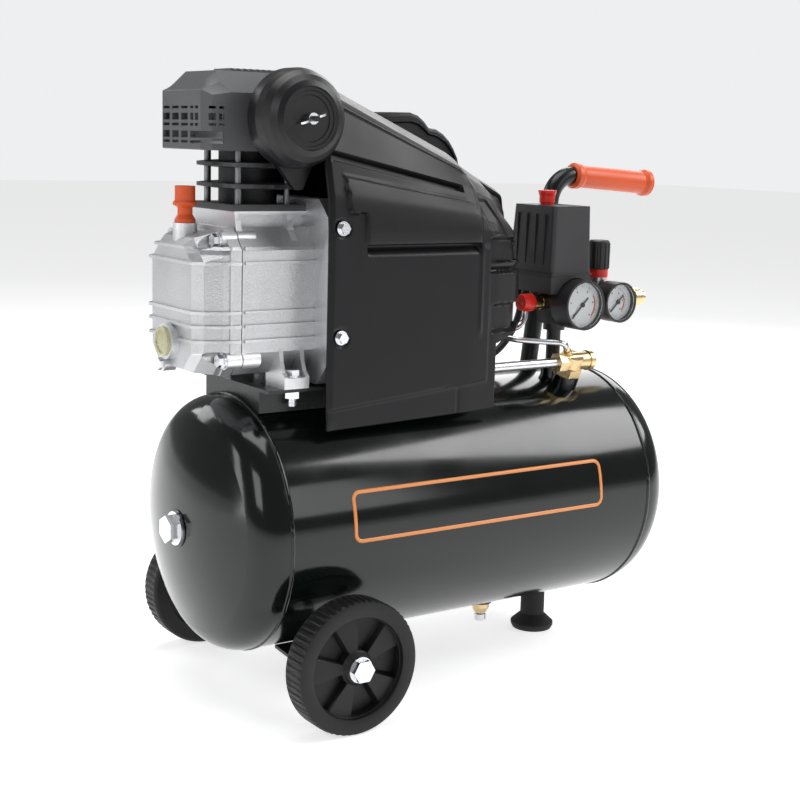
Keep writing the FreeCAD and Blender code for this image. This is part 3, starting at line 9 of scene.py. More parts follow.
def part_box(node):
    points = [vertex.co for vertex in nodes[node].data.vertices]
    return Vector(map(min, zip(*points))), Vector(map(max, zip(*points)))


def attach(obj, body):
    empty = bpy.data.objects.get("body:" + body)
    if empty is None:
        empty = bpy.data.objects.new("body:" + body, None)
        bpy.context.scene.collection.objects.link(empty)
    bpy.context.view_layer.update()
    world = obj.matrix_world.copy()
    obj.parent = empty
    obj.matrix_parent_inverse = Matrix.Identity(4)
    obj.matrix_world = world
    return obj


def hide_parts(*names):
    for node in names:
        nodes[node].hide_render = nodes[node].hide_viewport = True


# A small piston air compressor: light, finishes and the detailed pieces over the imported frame.
# Lengths are metres in the frame. Outlines are millimetres from the middle of the tank, put in place by at().

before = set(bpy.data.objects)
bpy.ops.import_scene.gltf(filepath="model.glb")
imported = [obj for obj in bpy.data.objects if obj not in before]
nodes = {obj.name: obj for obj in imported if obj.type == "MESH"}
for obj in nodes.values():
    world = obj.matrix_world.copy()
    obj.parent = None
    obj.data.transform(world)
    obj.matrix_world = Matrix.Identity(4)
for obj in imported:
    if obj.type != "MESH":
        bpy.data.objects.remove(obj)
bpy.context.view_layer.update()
scene = bpy.context.scene


def centre(node):
    low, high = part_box(node)
    return (low + high) / 2


MM = 0.001
AXLE_OFFSET = 0.167                               # from the wheels' axle to the middle of the tank
MIDDLE = centre("wheel_near").x + AXLE_OFFSET     # the middle of the tank along X
TANK_AXIS = 170                                   # height of the tank's axis, mm


def at(x, y, z):
    """A point given in millimetres from the middle of the tank, in metres in the frame."""
    return Vector((MIDDLE + x * MM, y * MM, z * MM))


# ---- camera ----------------------------------------------------------------------------------

YAW, PITCH, ROLL = 34.82, 10.03, 1.56          # degrees: round from the front, down, about the line of sight
SENSOR, LENS = 36, 66.38                       # mm
CAMERA_PLACE = (-0.8876, -1.2146, 0.5336)

yaw, pitch, roll = math.radians(YAW), math.radians(PITCH), math.radians(ROLL)
ahead = Vector((math.sin(yaw) * math.cos(pitch), math.cos(yaw) * math.cos(pitch), -math.sin(pitch)))
across = Vector((math.cos(yaw), -math.sin(yaw), 0))
upward = across.cross(ahead)
camera_x = across * math.cos(roll) + upward * math.sin(roll)
camera_y = -across * math.sin(roll) + upward * math.cos(roll)
camera_data = bpy.data.cameras.new("camera")
camera_data.sensor_width = SENSOR
camera_data.lens = LENS
camera = bpy.data.objects.new("camera", camera_data)
camera.matrix_world = Matrix.Translation(CAMERA_PLACE) @ Matrix(
    (camera_x, camera_y, -ahead)).transposed().to_4x4()
scene.collection.objects.link(camera)
scene.camera = camera


# ---- light -----------------------------------------------------------------------------------

def area_light(name, place, target, size, power, size_y=None, tint=(1, 1, 1)):
    data = bpy.data.lights.new(name, "AREA")
    data.shape = "RECTANGLE"
    data.size = size
    data.size_y = size_y or size
    data.energy = power
    data.color = tint
    lamp = bpy.data.objects.new(name, data)
    lamp.location = place
    lamp.rotation_euler = (Vector(target) - Vector(place)).to_track_quat("-Z", "Y").to_euler()
    scene.collection.objects.link(lamp)


area_light("top_soft", (-0.1, 0.1, 2.0), (0, 0, 0.3), 1.3, 20, 1.3)
area_light("front_left", (-2.3, -1.3, 1.5), (-0.1, 0, 0.35), 0.8, 12, 1.4)
area_light("front_right", (1.3, -2.5, 1.3), (0.1, 0, 0.3), 0.6, 6, 1.3)
area_light("end_strip", (-2.3, 0.5, 0.8), (0, 0, 0.35), 0.4, 8, 1.6)
area_light("back_soft", (1.9, 1.4, 1.7), (0, 0, 0.4), 1.5, 22, 1.3)
area_light("right_soft", (2.1, -1.2, 2.0), (0, 0, 0.45), 1.4, 48, 1.4)
area_light("back_left", (-1.2, 2.3, 1.5), (0, 0, 0.4), 1.0, 12)

SKY_AS_LIGHT, SKY_AS_SEEN = 0.22, 0.92      # the world lights the part softly, behind a pale background

world = bpy.data.worlds.new("studio")
scene.world = world
world.use_nodes = True
sky = world.node_tree
sky.nodes["Background"].inputs["Color"].default_value = (0.93, 0.94, 0.95, 1)
rays = sky.nodes.new("ShaderNodeLightPath")
level = sky.nodes.new("ShaderNodeMapRange")
level.inputs["To Min"].default_value = SKY_AS_LIGHT
level.inputs["To Max"].default_value = SKY_AS_SEEN
sky.links.new(rays.outputs["Is Camera Ray"], level.inputs["Value"])
sky.links.new(level.outputs["Result"], sky.nodes["Background"].inputs["Strength"])


# ---- materials -------------------------------------------------------------------------------

NOISE_LOW, NOISE_HIGH = 0.3, 0.7      # where nearly all of a noise's values lie
EDGE_START, EDGE_FULL = 0.53, 0.62    # pointiness at which an edge starts to lighten, and is fully lightened: worn edges with a painted edge highlight
BUMP_DEPTH = 0.0006


def surface(name, colour, rough=0.5, metal=0.0, grain=900.0, bump=0.1, spread=0.12, coarse=14.0,
            rough_spread=0.08, stretch=(1, 1, 1), edge_wear_and_highlight=None, **sockets):
    """A procedural finish: fine grain in the bump, slow variation in colour and roughness, sharp edges
    lightened towards a given colour, partly wear and partly a painted edge highlight.
    """
    material = bpy.data.materials.new(name)
    material.use_nodes = True
    tree = material.node_tree
    shader = tree.nodes["Principled BSDF"]
    where = tree.nodes.new("ShaderNodeTexCoord")
    scale = tree.nodes.new("ShaderNodeMapping")
    scale.inputs["Scale"].default_value = stretch
    tree.links.new(where.outputs["Object"], scale.inputs["Vector"])
    fine = tree.nodes.new("ShaderNodeTexNoise")
    fine.inputs["Scale"].default_value = grain
    fine.inputs["Detail"].default_value = 3
    broad = tree.nodes.new("ShaderNodeTexNoise")
    broad.inputs["Scale"].default_value = coarse
    broad.inputs["Detail"].default_value = 4
    for noise in (fine, broad):
        tree.links.new(scale.outputs["Vector"], noise.inputs["Vector"])
    blend = tree.nodes.new("ShaderNodeMath")
    blend.operation = "MULTIPLY_ADD"
    blend.inputs[1].default_value = 0.5
    tree.links.new(fine.outputs["Fac"], blend.inputs[0])
    half = tree.nodes.new("ShaderNodeMath")
    half.operation = "MULTIPLY"
    half.inputs[1].default_value = 0.5
    tree.links.new(broad.outputs["Fac"], half.inputs[0])
    tree.links.new(half.outputs[0], blend.inputs[2])
    ramp = tree.nodes.new("ShaderNodeValToRGB")
    ramp.color_ramp.elements[0].position = NOISE_LOW
    ramp.color_ramp.elements[1].position = NOISE_HIGH
    ramp.color_ramp.elements[0].color = [c * (1 - spread) for c in colour] + [1]
    ramp.color_ramp.elements[1].color = [min(1, c * (1 + spread)) for c in colour] + [1]
    tree.links.new(blend.outputs[0], ramp.inputs["Fac"])
    tint = ramp.outputs["Color"]
    # sharp convex edges are lightened towards the given colour: partly wear, partly a painted edge highlight
    if edge_wear_and_highlight:
        edge = tree.nodes.new("ShaderNodeNewGeometry")
        edge_ramp = tree.nodes.new("ShaderNodeValToRGB")
        edge_ramp.color_ramp.elements[0].position = EDGE_START
        edge_ramp.color_ramp.elements[1].position = EDGE_FULL
        tree.links.new(edge.outputs["Pointiness"], edge_ramp.inputs["Fac"])
        wear_and_highlight_mix = tree.nodes.new("ShaderNodeMix")
        wear_and_highlight_mix.data_type = "RGBA"
        wear_and_highlight_mix.inputs["B"].default_value = tuple(edge_wear_and_highlight) + (1,)
        tree.links.new(edge_ramp.outputs["Color"], wear_and_highlight_mix.inputs["Factor"])
        tree.links.new(tint, wear_and_highlight_mix.inputs["A"])
        tint = wear_and_highlight_mix.outputs["Result"]
    tree.links.new(tint, shader.inputs["Base Color"])
    span = tree.nodes.new("ShaderNodeMapRange")
    span.inputs["From Min"].default_value = NOISE_LOW
    span.inputs["From Max"].default_value = NOISE_HIGH
    span.inputs["To Min"].default_value = max(0.02, rough - rough_spread)
    span.inputs["To Max"].default_value = min(1.0, rough + rough_spread)
    tree.links.new(broad.outputs["Fac"], span.inputs["Value"])
    tree.links.new(span.outputs["Result"], shader.inputs["Roughness"])
    relief = tree.nodes.new("ShaderNodeBump")
    relief.inputs["Strength"].default_value = bump
    relief.inputs["Distance"].default_value = BUMP_DEPTH
    tree.links.new(fine.outputs["Fac"], relief.inputs["Height"])
    tree.links.new(relief.outputs["Normal"], shader.inputs["Normal"])
    shader.inputs["Metallic"].default_value = metal
    for socket, value in sockets.items():
        shader.inputs[socket.replace("_", " ")].default_value = value
    return material


# Where a finish is given an edge colour, its sharp edges are lighter: worn edges and a painted edge
# highlight.
paint = surface("tank_paint", (0.0022, 0.0042, 0.0036), rough=0.16, grain=260, bump=0.035, spread=0.15,
                rough_spread=0.05, Specular_IOR_Level=0.3, Coat_Weight=0.35, Coat_Roughness=0.1)
satin = surface("satin_black", (0.0035, 0.005, 0.0047), rough=0.3, grain=500, bump=0.12,
                edge_wear_and_highlight=(0.03, 0.032, 0.032), Specular_IOR_Level=0.35)
hood_plastic = surface("hood_plastic", (0.082, 0.083, 0.09), rough=0.42, grain=1500, bump=0.28, spread=0.2,
                       Specular_IOR_Level=0.4)
shroud_plastic = surface("shroud_plastic", (0.0052, 0.0052, 0.0065), rough=0.4, grain=1500, bump=0.2,
                         spread=0.2, rough_spread=0.06, Specular_IOR_Level=0.28)
filter_plastic = surface("filter_plastic", (0.0065, 0.0065, 0.0078), rough=0.36, grain=1400, bump=0.15,
                         spread=0.2, Specular_IOR_Level=0.4)
wheel_plastic = surface("wheel_plastic", (0.006, 0.006, 0.0068), rough=0.46, grain=1300, bump=0.25,
                        spread=0.25, Specular_IOR_Level=0.35)
switch_plastic = surface("switch_plastic", (0.02, 0.02, 0.022), rough=0.42, grain=1500, bump=0.25, spread=0.2)
knob_plastic = surface("knob_plastic", (0.012, 0.012, 0.013), rough=0.45, grain=1500, bump=0.2, spread=0.2)
rubber = surface("foot_rubber", (0.011, 0.011, 0.011), rough=0.72, grain=900, bump=0.3, spread=0.25)
cast = surface("cast_aluminium", (0.6, 0.605, 0.62), rough=0.36, metal=0.88, grain=750, bump=0.6, spread=0.14,
               coarse=22, rough_spread=0.08, edge_wear_and_highlight=(0.9, 0.9, 0.92))
milled = surface("milled_aluminium", (0.62, 0.63, 0.64), rough=0.3, metal=0.95, grain=420, bump=0.2,
                 spread=0.1, stretch=(1, 1, 8))
zinc = surface("bright_zinc", (0.66, 0.67, 0.7), rough=0.24, metal=1.0, grain=600, bump=0.12, spread=0.14,
               edge_wear_and_highlight=(0.85, 0.86, 0.88))
dark_stud = surface("dark_stud", (0.2, 0.215, 0.22), rough=0.33, metal=1.0, grain=650, bump=0.3,
                    stretch=(1, 1, 6))
steel = surface("ground_steel", (0.5, 0.5, 0.52), rough=0.28, metal=1.0, grain=700, bump=0.15,
                stretch=(8, 1, 1))
tube = surface("drawn_tube", (0.66, 0.66, 0.68), rough=0.27, metal=0.95, grain=420, bump=0.12,
               stretch=(0.3, 1, 1))
brass = surface("turned_brass", (0.66, 0.5, 0.27), rough=0.28, metal=1.0, grain=650, bump=0.14, spread=0.18,
                edge_wear_and_highlight=(0.85, 0.7, 0.42))
chrome = surface("plated_body", (0.6, 0.6, 0.61), rough=0.25, metal=1.0, grain=520, bump=0.2, spread=0.12)
copper = surface("winding_copper", (0.5, 0.22, 0.1), rough=0.42, metal=0.9, grain=1400, bump=0.9,
                 stretch=(6, 1, 1))
iron = surface("lamination_iron", (0.16, 0.16, 0.17), rough=0.5, metal=0.8, grain=900, bump=0.8,
               stretch=(8, 1, 1))
barrel_black = surface("barrel_black", (0.006, 0.0065, 0.0075), rough=0.4, metal=0.1, grain=700, bump=0.7,
                       spread=0.3, edge_wear_and_highlight=(0.08, 0.08, 0.085), Specular_IOR_Level=0.35)
orange = surface("orange_moulding", (0.62, 0.085, 0.018), rough=0.42, grain=1300, bump=0.2, spread=0.12,
                 Specular_IOR_Level=0.4)
red = surface("red_moulding", (0.72, 0.022, 0.012), rough=0.33, grain=1200, bump=0.12, spread=0.12)
decal_ink = surface("decal_ink", (0.72, 0.26, 0.07), rough=0.35, grain=900, bump=0.05, spread=0.06)
cable_rubber = surface("cable_sheath", (0.02, 0.021, 0.022), rough=0.5, grain=1200, bump=0.2)
gasket_fibre = surface("gasket_fibre", (0.09, 0.09, 0.09), rough=0.85, grain=1500, bump=0.6, spread=0.25)
foam = surface("filter_foam", (0.16, 0.15, 0.12), rough=0.95, grain=1100, bump=1.0, spread=0.4)
dial_face = surface("dial_face", (0.82, 0.83, 0.84), rough=0.5, grain=900, bump=0.04, spread=0.03)
dial_ink = surface("dial_ink", (0.02, 0.02, 0.022), rough=0.5, grain=900, bump=0.03)
dial_red = surface("dial_red", (0.62, 0.03, 0.03), rough=0.5, grain=900, bump=0.03)
needle_black = surface("needle_black", (0.012, 0.012, 0.013), rough=0.4, grain=900, bump=0.05)
glass = surface("gauge_glass", (0.97, 0.98, 0.98), rough=0.05, grain=300, bump=0.01, spread=0.01,
                rough_spread=0.02, Transmission_Weight=1.0, IOR=1.3)
sight = surface("sight_window", (0.62, 0.6, 0.38), rough=0.22, grain=300, bump=0.06, spread=0.15,
                Transmission_Weight=0.35, IOR=1.45)

FINISHES = {
    paint: ["tank_shell"],
    satin: ["saddle_bracket", "wheel_brackets", "handle_tube"],
    zinc: ["end_plug", "axle_bolts", "flange_screws", "foot_bolts", "wing_nut", "drain_screw"],
    rubber: ["rubber_foot"],
    brass: ["drain_valve_body", "check_valve", "safety_valve_body", "coupler_body", "coupler_sleeve"],
    cast: ["crankcase", "crankcase_cover", "motor_end_shield"],
    gasket_fibre: ["crankcase_gasket"],
    sight: ["sight_glass"],
    barrel_black: ["cylinder_barrel_fins"],
    milled: ["valve_plate", "cylinder_head", "piston", "connecting_rod"],
    dark_stud: ["cylinder_studs"],
    steel: ["shaft_bearings", "crankshaft", "wrist_pin"],
    iron: ["motor_stator", "rotor"],
    copper: ["stator_windings"],
    hood_plastic: ["run_capacitor", "head_cover", "cooling_fan"],
    shroud_plastic: ["motor_shroud"],
    filter_plastic: ["filter_base", "filter_cap"],
    foam: ["filter_element"],
    tube: ["discharge_pipe", "unloader_pipe"],
    knob_plastic: ["manifold", "gauge_cases", "regulator_knob"],
    switch_plastic: ["pressure_switch", "switch_cover"],
    cable_rubber: ["motor_cable"],
    chrome: ["regulator_body"],
    red: ["regulator_ring", "on_off_knob", "safety_valve_cap"],
    dial_face: ["gauge_dials"],
    glass: ["gauge_windows"],
    orange: ["handle_grip", "oil_plug"],
    wheel_plastic: ["wheel_near", "wheel_far"],
    needle_black: ["large_gauge_needle", "small_gauge_needle"],
}
for finish, names in FINISHES.items():
    for name in names:
        slots = nodes[name].material_slots
        for slot in slots:
            slot.material = finish
        if not slots:
            nodes[name].data.materials.append(finish)


# ---- mesh helpers ----------------------------------------------------------------------------

MERGE = 0.00002      # points closer than this are one point


def piece(name, mesh, material, body, smooth=40.0):
    """One visible piece on a body. Its edges stay sharp where its faces meet at more than smooth degrees."""
    item = bpy.data.objects.new(name, mesh)
    scene.collection.objects.link(item)
    mesh.materials.append(material)
    for face in mesh.polygons:
        face.use_smooth = True
    mesh.set_sharp_from_angle(angle=math.radians(smooth))
    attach(item, body)
    return item


def grid_mesh(name, points, keep=None, wrap=False):
    """A mesh of quads over an array of points, (rows, columns, 3). With wrap each row is a closed ring."""
    rows, columns = points.shape[:2]
    index = np.arange(rows * columns).reshape(rows, columns)
    if wrap:
        index = np.concatenate([index, index[:, :1]], axis=1)
    quads = np.stack([index[:-1, :-1], index[1:, :-1], index[1:, 1:], index[:-1, 1:]], axis=-1)
    if keep is not None:
        quads = quads[keep]
    mesh = bpy.data.meshes.new(name)
    mesh.from_pydata(points.reshape(-1, 3).tolist(), [], quads.reshape(-1, 4).tolist())
    mesh.update()
    return mesh


def tidy_mesh(mesh):
    """The mesh with its coincident points joined, no loose points and all faces turned outwards."""
    work = bmesh.new()
    work.from_mesh(mesh)
    bmesh.ops.remove_doubles(work, verts=work.verts, dist=MERGE)
    loose = [v for v in work.verts if not v.link_faces]
    bmesh.ops.delete(work, geom=loose, context="VERTS")
    bmesh.ops.recalc_face_normals(work, faces=work.faces)
    work.to_mesh(mesh)
    work.free()
    return mesh


def step(value, low, high):
    """A smooth rise from 0 at low to 1 at high."""
    t = np.clip((value - low) / (high - low), 0, 1)
    return t * t * (3 - 2 * t)


def band(value, low, high, soft=1.5):
    """1 between low and high and 0 outside, with soft shoulders."""
    return step(value, low - soft / 2, low + soft / 2) * (1 - step(value, high - soft / 2, high + soft / 2))


def prism(points, low, high):
    """A bmesh solid: an outline in the XZ plane, given in millimetres, drawn out along Y."""
    work = bmesh.new()
    front = [work.verts.new(at(x, low, z)) for x, z in points]
    back = [work.verts.new(at(x, high, z)) for x, z in points]
    work.faces.new(front)
    work.faces.new(list(reversed(back)))
    for i in range(len(points)):
        j = (i + 1) % len(points)
        work.faces.new((front[j], front[i], back[i], back[j]))
    bmesh.ops.recalc_face_normals(work, faces=work.faces)
    return work


# ---- shroud ----------------------------------------------------------------------------------

FRONT_X, SHOULDER_X, TAIL_X = -163, 33, 80      # where the moulding starts, steps in and ends, mm
ROW_STEP = 1.5

# Half sections of the moulding along the motor: x, then (|y|, z) from the flat side up to the ridge line.
# Below its first point the side runs straight down to hem_top and lower_edge.
SECTIONS = [
    (-163, [(89, 426), (89, 440), (89, 450), (86.5, 482), (81.5, 503), (79, 515), (77, 522.5), (60, 575),
            (46, 583), (35, 590), (0, 591.5)]),
    (0, [(89, 426), (89, 440), (88, 450), (85.5, 464), (80, 477), (76.5, 483), (73, 489.5), (60, 505),
         (47, 514), (35, 521), (0, 522)]),
    (33, [(87, 426), (87, 440), (86, 448), (83, 457), (78, 466), (75, 471.5), (72, 477), (59, 489),
          (48, 496), (35, 502), (0, 503)]),
    (60, [(81, 418), (80, 430), (79, 436), (77.5, 442), (74, 448), (66, 454), (56, 460), (54.5, 470),
          (53, 481), (42, 487), (0, 487.5)]),
    (80, [(60, 408), (60, 416), (58.5, 422), (57, 428), (53, 436), (44, 443), (34, 449), (33, 455),
          (31, 464), (20, 470), (0, 470.5)]),
]
PAD_FOOT = (426, 440)      # the first two heights, level as far as the tail
# Quads between one point of the whole outline and the next, from the lower edge to the ridge line.
DIVISIONS = [12, 78, 16, 8, 18, 16, 8, 6, 36, 12, 9, 18]


def lower_edge(x):
    """Height of the moulding's lower edge."""
    return 268 + (x + 163) * 0.03


def hem_top(x):
    """Height at which the hem ends and the side panel starts."""
    return 287 + (x + 157) * 0.09


def smooth_rows(values, width):
    """A moving average that keeps both end values, by mirroring the row about each of them."""
    kernel = np.hanning(width + 2)[1:-1]
    kernel /= kernel.sum()
    before = 2 * values[:1] - values[width:0:-1]
    after = 2 * values[-1:] - values[-2:-width - 2:-1]
    padded = np.concatenate([before, values, after])
    return np.convolve(padded, kernel, mode="same")[width:-width]


def shroud_points():
    """The plain form of one half: x, |y| and z, each an array of sections by points up the outline."""
    front_part = np.arange(FRONT_X, SHOULDER_X, ROW_STEP)
    tail_part = np.arange(SHOULDER_X, TAIL_X + 0.1, ROW_STEP)
    xs = np.concatenate([front_part, tail_part, [TAIL_X]])
    keys = [x for x, _ in SECTIONS]
    profile = []
    for k in range(len(SECTIONS[0][1])):
        y = np.interp(xs, keys, [points[k][0] for _, points in SECTIONS])
        z = np.interp(xs, keys, [points[k][1] for _, points in SECTIONS])
        if k < len(PAD_FOOT):
            z = np.where(xs < SHOULDER_X + 3, PAD_FOOT[k], z)
        profile.append((smooth_rows(y, 9), z))
    side = profile[0][0]
    profile = [(side, lower_edge(xs)), (side, hem_top(xs))] + profile
    ys, zs = [], []
    for k, count in enumerate(DIVISIONS):
        for i in range(count + (k == len(DIVISIONS) - 1)):
            t = i / count
            ys.append(profile[k][0] * (1 - t) + profile[k + 1][0] * t)
            zs.append(profile[k][1] * (1 - t) + profile[k + 1][1] * t)
    y, z = np.array(ys).T, np.array(zs).T
    for row in range(len(xs)):
        y[row] = smooth_rows(y[row], 7)
        z[row] = smooth_rows(z[row], 7)
    y[:, 0] = profile[0][0]
    y[:, -1] = 0
    z[:, 0] = profile[0][1]
    x = np.repeat(xs[:, None], y.shape[1], axis=1)
    tail_edge = 338 + (x - SHOULDER_X) * 0.34
    z = np.where(x > SHOULDER_X + 0.5, np.maximum(z, tail_edge), z)
    return x, y, z


def shroud_relief(x, z):
    """How far the moulding stands out from its plain form, in millimetres."""
    # the pad along the upper side, with a rounded rear corner and a swollen middle
    pad_top = 500.6 - 0.163 * (x + 150) - 1.0
    left = np.where(z > 466, -146 + (500 - z) * 0.1, -124.5)
    corner = np.hypot(np.maximum(0, x - -5), np.maximum(0, z - (pad_top - 12)))
    pad = step(x, left - 1, left + 1.5) * step(z, 436.5, 439) * (1 - step(corner, 10.5, 13))
    pad *= (1 - step(z, pad_top - 1.2, pad_top + 1.2))
    swell = np.sin(np.clip((z - 437) / (pad_top - 437), 0, 1) * math.pi) ** 0.6
    out = pad * (1.2 + 3.2 * swell)
    # the undercut below the pad, and the fine ridge above it
    under = band(x, -122, 7, 3) * step(z, 426, 435.5) * (1 - step(z, 436.2, 438.2))
    out -= 6.5 * under
    pad_line = band(x, -147, -6, 2) * np.exp(-((z - pad_top - 1.0) / 1.2) ** 2)
    out += 0.7 * pad_line
    # the side panel, which stands out over the hem
    bottom = hem_top(x)
    panel = step(x, -161, -159) * (1 - step(x, 20.5, 22.5)) * step(z, bottom - 1.6, bottom + 1.6)
    out += 2.0 * panel * (1 - step(z, 428, 440) * step(x, 8, 12))
    # the hem: an upright joint line, and a flare at its front end
    out -= 1.2 * np.exp(-((x + 13.7) / 1.1) ** 2) * (1 - step(z, bottom - 4, bottom - 1))
    flare = (1 - step(z, bottom - 14, bottom - 1)) * (1 - step(x, -163, -150))
    out += 1.5 * flare
    # the seats of the two side screws
    for height in (453, 354):
        away = np.hypot(x + 150, z - height)
        out -= 1.6 * (1 - step(away, 7.5, 10))
    # two pockets in the rear edge
    first = step(x, 21.5, 24.5) * band(z, 408, 441, 4)
    second = step(x, 25.5, 28.5) * band(z, 350, 376, 4)
    out -= 7.5 * (first * (1 - 0.75 * step(z, 408, 416) * (z < 418)) + second)
    # the slanted recess behind the pad, and the upright ridge in front of it
    slant_low = 10.5 + (478 - z) * 0.47
    slant_high = 23 + (478 - z) * 0.66
    slant = step(x, slant_low - 1, slant_low + 1) * (1 - step(x, slant_high - 1, slant_high + 1))
    out -= 2.0 * slant * band(z, 443.5, 478, 2)
    out += 1.4 * np.exp(-((x - 9.5) / 2.2) ** 2) * band(z, 350, 492, 14)
    return out


def shroud_mesh():
    """The cowl as one open sheet, and the ring of points round its rear edge."""
    x, y, z = shroud_points()
    along_y, along_z = np.gradient(y, axis=1), np.gradient(z, axis=1)
    length = np.hypot(along_y, along_z) + 1e-9
    out_y, out_z = along_z / length, -along_y / length
    relief = shroud_relief(x, z)
    stops = np.cumsum([0] + DIVISIONS)
    # the narrow faces between the side and the tail's higher lower edge are left out
    hem = (x[:-1] > SHOULDER_X - 1) & (x[:-1] < SHOULDER_X + 0.8) & (z[:-1] < 337)
    # a groove below the roof, two ridges along its edge and a sunk strip at its rear end
    place = np.broadcast_to(np.arange(y.shape[1]), y.shape)
    groove = band(place, stops[7] + 0.2, stops[8] - 0.2, 1.6) * (1 - step(x, -8, -5.5)) * step(x, -158, -155)
    relief = relief - 6.0 * groove
    ridge = np.exp(-((place - stops[9] + 3.2) / 0.9) ** 2) + np.exp(-((place - stops[9] - 2.2) / 0.9) ** 2)
    relief = relief + 1.3 * ridge * (1 - step(x, 0, 10))
    vent = band(x, 36, 76, 2) * band(place, stops[9] + 1, stops[10] - 1, 2)
    relief = relief - 4.0 * vent
    y = y + out_y * relief
    z = z + out_z * relief
    y[:, -1] = 0
    side = np.stack([MIDDLE + x * MM, -y * MM, z * MM], axis=-1)
    other = side[:, ::-1].copy()
    other[..., 1] *= -1
    points = np.concatenate([side, other[:, 1:]], axis=1)
    keep = ~(hem[:, :-1] | hem[:, 1:])
    mesh = grid_mesh("motor_cowl", points, keep=np.concatenate([keep, keep[:, ::-1]], axis=1))
    return mesh, points[-1]


COWL_WALL = 0.0024
cowl_mesh, tail_ring = shroud_mesh()
tidy_mesh(cowl_mesh)
cowl = piece("motor_cowl", cowl_mesh, shroud_plastic, "base", 35)
shell = cowl.modifiers.new("wall", "SOLIDIFY")
shell.thickness = COWL_WALL
shell.offset = -1


TAIL_WALL = 0.0026
TAIL_SLOT = (0.03, 0.04, 0.006)      # through the wall, across it and up it


def tail_cover():
    """The rear wall of the cowl, with two columns of air slots."""
    work = bmesh.new()
    outline = [Vector(p) for p in tail_ring[::3]]
    front = [work.verts.new(p + Vector((0.0004, 0, 0))) for p in outline]
    face = work.faces.new(front)
    solid = bmesh.ops.extrude_face_region(work, geom=[face])
    for v in [g for g in solid["geom"] if isinstance(g, bmesh.types.BMVert)]:
        v.co.x -= TAIL_WALL
    bmesh.ops.recalc_face_normals(work, faces=work.faces)
    wall = bpy.data.meshes.new("tail_wall")
    work.to_mesh(wall)
    work.free()
    cutters = bmesh.new()
    for row in range(7):
        for middle in (-24, 24):
            box = bmesh.ops.create_cube(cutters, size=1)["verts"]
            bmesh.ops.scale(cutters, vec=TAIL_SLOT, verts=box)
            bmesh.ops.translate(cutters, vec=at(TAIL_X, middle, 361 + 11 * row), verts=box)
    cutter_mesh = bpy.data.meshes.new("slot_boxes")
    cutters.to_mesh(cutter_mesh)
    cutters.free()
    body = bpy.data.objects.new("tail_work", wall)
    tool = bpy.data.objects.new("slot_work", cutter_mesh)
    scene.collection.objects.link(body)
    scene.collection.objects.link(tool)
    trim = body.modifiers.new("slots", "BOOLEAN")
    trim.operation = "DIFFERENCE"
    trim.object = tool
    bpy.context.view_layer.update()
    done = bpy.data.meshes.new_from_object(body.evaluated_get(bpy.context.evaluated_depsgraph_get()))
    bpy.data.objects.remove(body)
    bpy.data.objects.remove(tool)
    return done


piece("cowl_tail_wall", tail_cover(), shroud_plastic, "base", 30)

HUMP = [(-70, 520), (-66, 536), (-57, 556), (-53, 559), (-13, 560), (-4, 557.5), (4, 552), (10, 545.5),
        (19, 544.5), (28, 540), (36, 533), (42, 525), (47, 516), (49.5, 506), (50, 480), (-30, 500)]
LIP = [(-60, 549), (-14, 551), (-5, 549), (2, 544), (8, 539.5), (18, 537.5), (27, 533), (34, 526.5),
       (40, 518), (44, 508)]
HUMP_SIDES = (3, 61)       # y of its two sides, mm
LIP_SIDES = (1.9, 62.1)


def hump_mesh():
    """The hump on the roof, with the edges of its two sides rounded."""
    work = prism(HUMP, *HUMP_SIDES)
    side_edges = [e for e in work.edges if abs(e.verts[0].co.y - e.verts[1].co.y) < 1e-6]
    bmesh.ops.bevel(work, geom=side_edges, offset=0.0042, segments=4, profile=0.5, affect="EDGES")
    mesh = bpy.data.meshes.new("cowl_hump")
    work.to_mesh(mesh)
    work.free()
    return mesh


piece("cowl_hump", hump_mesh(), shroud_plastic, "base", 50)


def lip_mesh():
    """A narrow moulded step, three-sided, that runs along each side of the hump under its roof."""
    work = bmesh.new()
    for side in LIP_SIDES:
        peak = -0.9 if side == LIP_SIDES[0] else 0.9
        run = []
        for x, z in LIP:
            run.append([work.verts.new(at(x, side, z + dz) + Vector((0, dy * MM, 0)))
                        for dz, dy in ((1.4, 1.0), (0, peak), (-1.4, 1.0))])
        for a, b in zip(run, run[1:]):
            for k in range(3):
                work.faces.new((a[k], a[(k + 1) % 3], b[(k + 1) % 3], b[k]))
        work.faces.new(run[0])
        work.faces.new(list(reversed(run[-1])))
    bmesh.ops.recalc_face_normals(work, faces=work.faces)
    mesh = bpy.data.meshes.new("hump_lip")
    work.to_mesh(mesh)
    work.free()
    return mesh


piece("cowl_hump_lip", lip_mesh(), shroud_plastic, "base", 30)
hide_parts("motor_shroud")


# ---- wheels ----------------------------------------------------------------------------------

RIBS, SPOKES = 60, 5
RIB_DEPTH = 1.1
# Radius and depth from the inner face, in mm: bore, inner face, rim and tread round to the outer face.
WHEEL_OUTLINE = [(6.3, 0), (17, 0), (17, 8), (45, 8), (47, 0), (60, 0), (62.2, 1.4), (63, 3.2), (63, 6),
                 (63, 12), (63, 18), (63, 22), (62.8, 24.4), (61.6, 26.4), (59.8, 27), (49.5, 27),
                 (48, 26.2), (46.9, 22.5)]
HUB_OUTLINE = [(16.2, 22.6), (15.4, 23.4), (13.6, 26.4), (12.6, 26.9), (6.3, 26.9)]
HUB_RADIUS, WEB_RADIUS = 17, 46      # the spokes run from one to the other
WEB_DEPTH, POCKET_DEPTH = 22.3, 8.5


